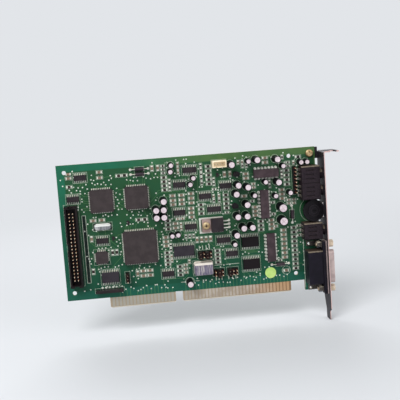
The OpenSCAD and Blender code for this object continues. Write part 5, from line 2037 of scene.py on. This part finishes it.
@dataclass
class Studio:
    """The pale floor, the soft lamps, the even world and the camera."""

    foot: float
    pale: Colour = shade(226, 229, 233)
    floor_paint: Colour = shade(214, 217, 221)
    floor_gap: float = 0.2
    floor_r: float = 3000.0
    floor_facets: int = 64
    fade_near: float = 160.0
    fade_far: float = 760.0
    aim: Point = (-28.0, -5.0, 50.0)
    ambient: float = 0.42
    camera_at: Point = (-73.55, -541.07, 140.62)
    camera_turn: Point = (82.987, 3.981, -5.818)
    focal: float = 67.56

    def build(self) -> None:
        """Sets up everything round the card."""
        self.floor()
        self.world()
        self.lamp("key_lamp", (-420.0, -720.0, 760.0), 520.0, 9.0)
        self.lamp("fill_lamp", (620.0, -760.0, 260.0), 700.0, 3.2)
        self.lamp("rear_lamp", (-120.0, 800.0, 620.0), 700.0, 5.0)
        self.camera()

    def floor(self) -> None:
        """Lays a floor that fades into the world before its edge shows."""
        recipe = Recipe("studio_floor")
        x, y, _ = recipe.split(recipe.place)
        away = (x * x + y * y) ** 0.5
        recipe.dress(Base_Color=self.floor_paint, Roughness=0.8, Specular_IOR_Level=0.1)
        glow = recipe.node("ShaderNodeEmission", inputs={"Color": self.pale})
        mix = recipe.node(
            "ShaderNodeMixShader",
            inputs={
                0: away.rises(self.fade_near, self.fade_far),
                1: recipe.surface.outputs[0],
                2: glow.outputs[0],
            },
        )
        recipe.feed(recipe.output, "Surface", mix.outputs[0])
        height = (self.foot - self.floor_gap) * MM
        rim = [(x, y, height) for x, y in arc((0.0, 0.0), self.floor_r * MM, self.floor_facets)]
        mesh = bpy.data.meshes.new("floor")
        mesh.from_pydata(rim, [], [tuple(range(self.floor_facets))])
        mesh.materials.append(recipe.material)
        made = bpy.data.objects.new("floor", mesh)
        bpy.context.scene.collection.objects.link(made)
        made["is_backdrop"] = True

    def world(self) -> None:
        """Lights evenly from all round, and shows the floor's colour to the camera and to reflections."""
        world = bpy.data.worlds.new("studio")
        bpy.context.scene.world = world
        world.use_nodes = True
        tree = Tree(world.node_tree)
        light = tree.node("ShaderNodeBackground", inputs={"Strength": self.ambient})
        tree.feed(light, "Color", (1.0, 1.0, 1.0, 1.0))
        show = tree.node("ShaderNodeBackground", inputs={"Color": self.pale})
        mix = tree.node(
            "ShaderNodeMixShader",
            inputs={0: tree.seen(), 1: light.outputs[0], 2: show.outputs[0]},
        )
        tree.node("ShaderNodeOutputWorld", inputs={"Surface": mix.outputs[0]})

    def lamp(self, name: str, place: Point, side: float, power: float) -> None:
        """Hangs a square soft lamp that points at the card.

        Args:
            name: Its name.
            place: Where it hangs.
            side: Its side's length.
            power: Its power in watts.
        """
        data = bpy.data.lights.new(name, "AREA")
        data.energy = power
        data.size = side * MM
        made = bpy.data.objects.new(name, data)
        made.location = Vector(place) * MM
        made.rotation_euler = (Vector(self.aim) - Vector(place)).to_track_quat("-Z", "Y").to_euler()
        bpy.context.scene.collection.objects.link(made)

    def camera(self) -> None:
        """Puts the camera where the photographer stood."""
        data = bpy.data.cameras.new("camera")
        data.lens = self.focal
        data.clip_start, data.clip_end = 0.01, 20.0
        made = bpy.data.objects.new("camera", data)
        made.location = Vector(self.camera_at) * MM
        made.rotation_euler = [math.radians(turn) for turn in self.camera_turn]
        bpy.context.scene.collection.objects.link(made)
        bpy.context.scene.camera = made


def main() -> None:
    """Loads the frame, builds every sub-assembly in order and lights the scene."""
    logging.basicConfig(level=logging.INFO, format="%(name)s: %(message)s")
    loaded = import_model()
    cad_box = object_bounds()
    frame = Frame(loaded["nodes"])
    copper = Copperwork()
    copper.build(frame)
    Silkscreen().build(frame, copper)
    for part in (
        Bracket(), Jacks(), VolumeControl(), GamePort(), Headers(), Chips(), PowerAndClock(), LeadedParts(),
        ChipParts(), Capacitors(), Sticker(),
    ):
        part.build(frame)
        LOG.info("%s: done", type(part).__name__)
    Studio(foot=cad_box[0][2] / MM).build()
    bpy.context.scene.view_settings.view_transform = "Standard"


if __name__ == "__main__":
    main()
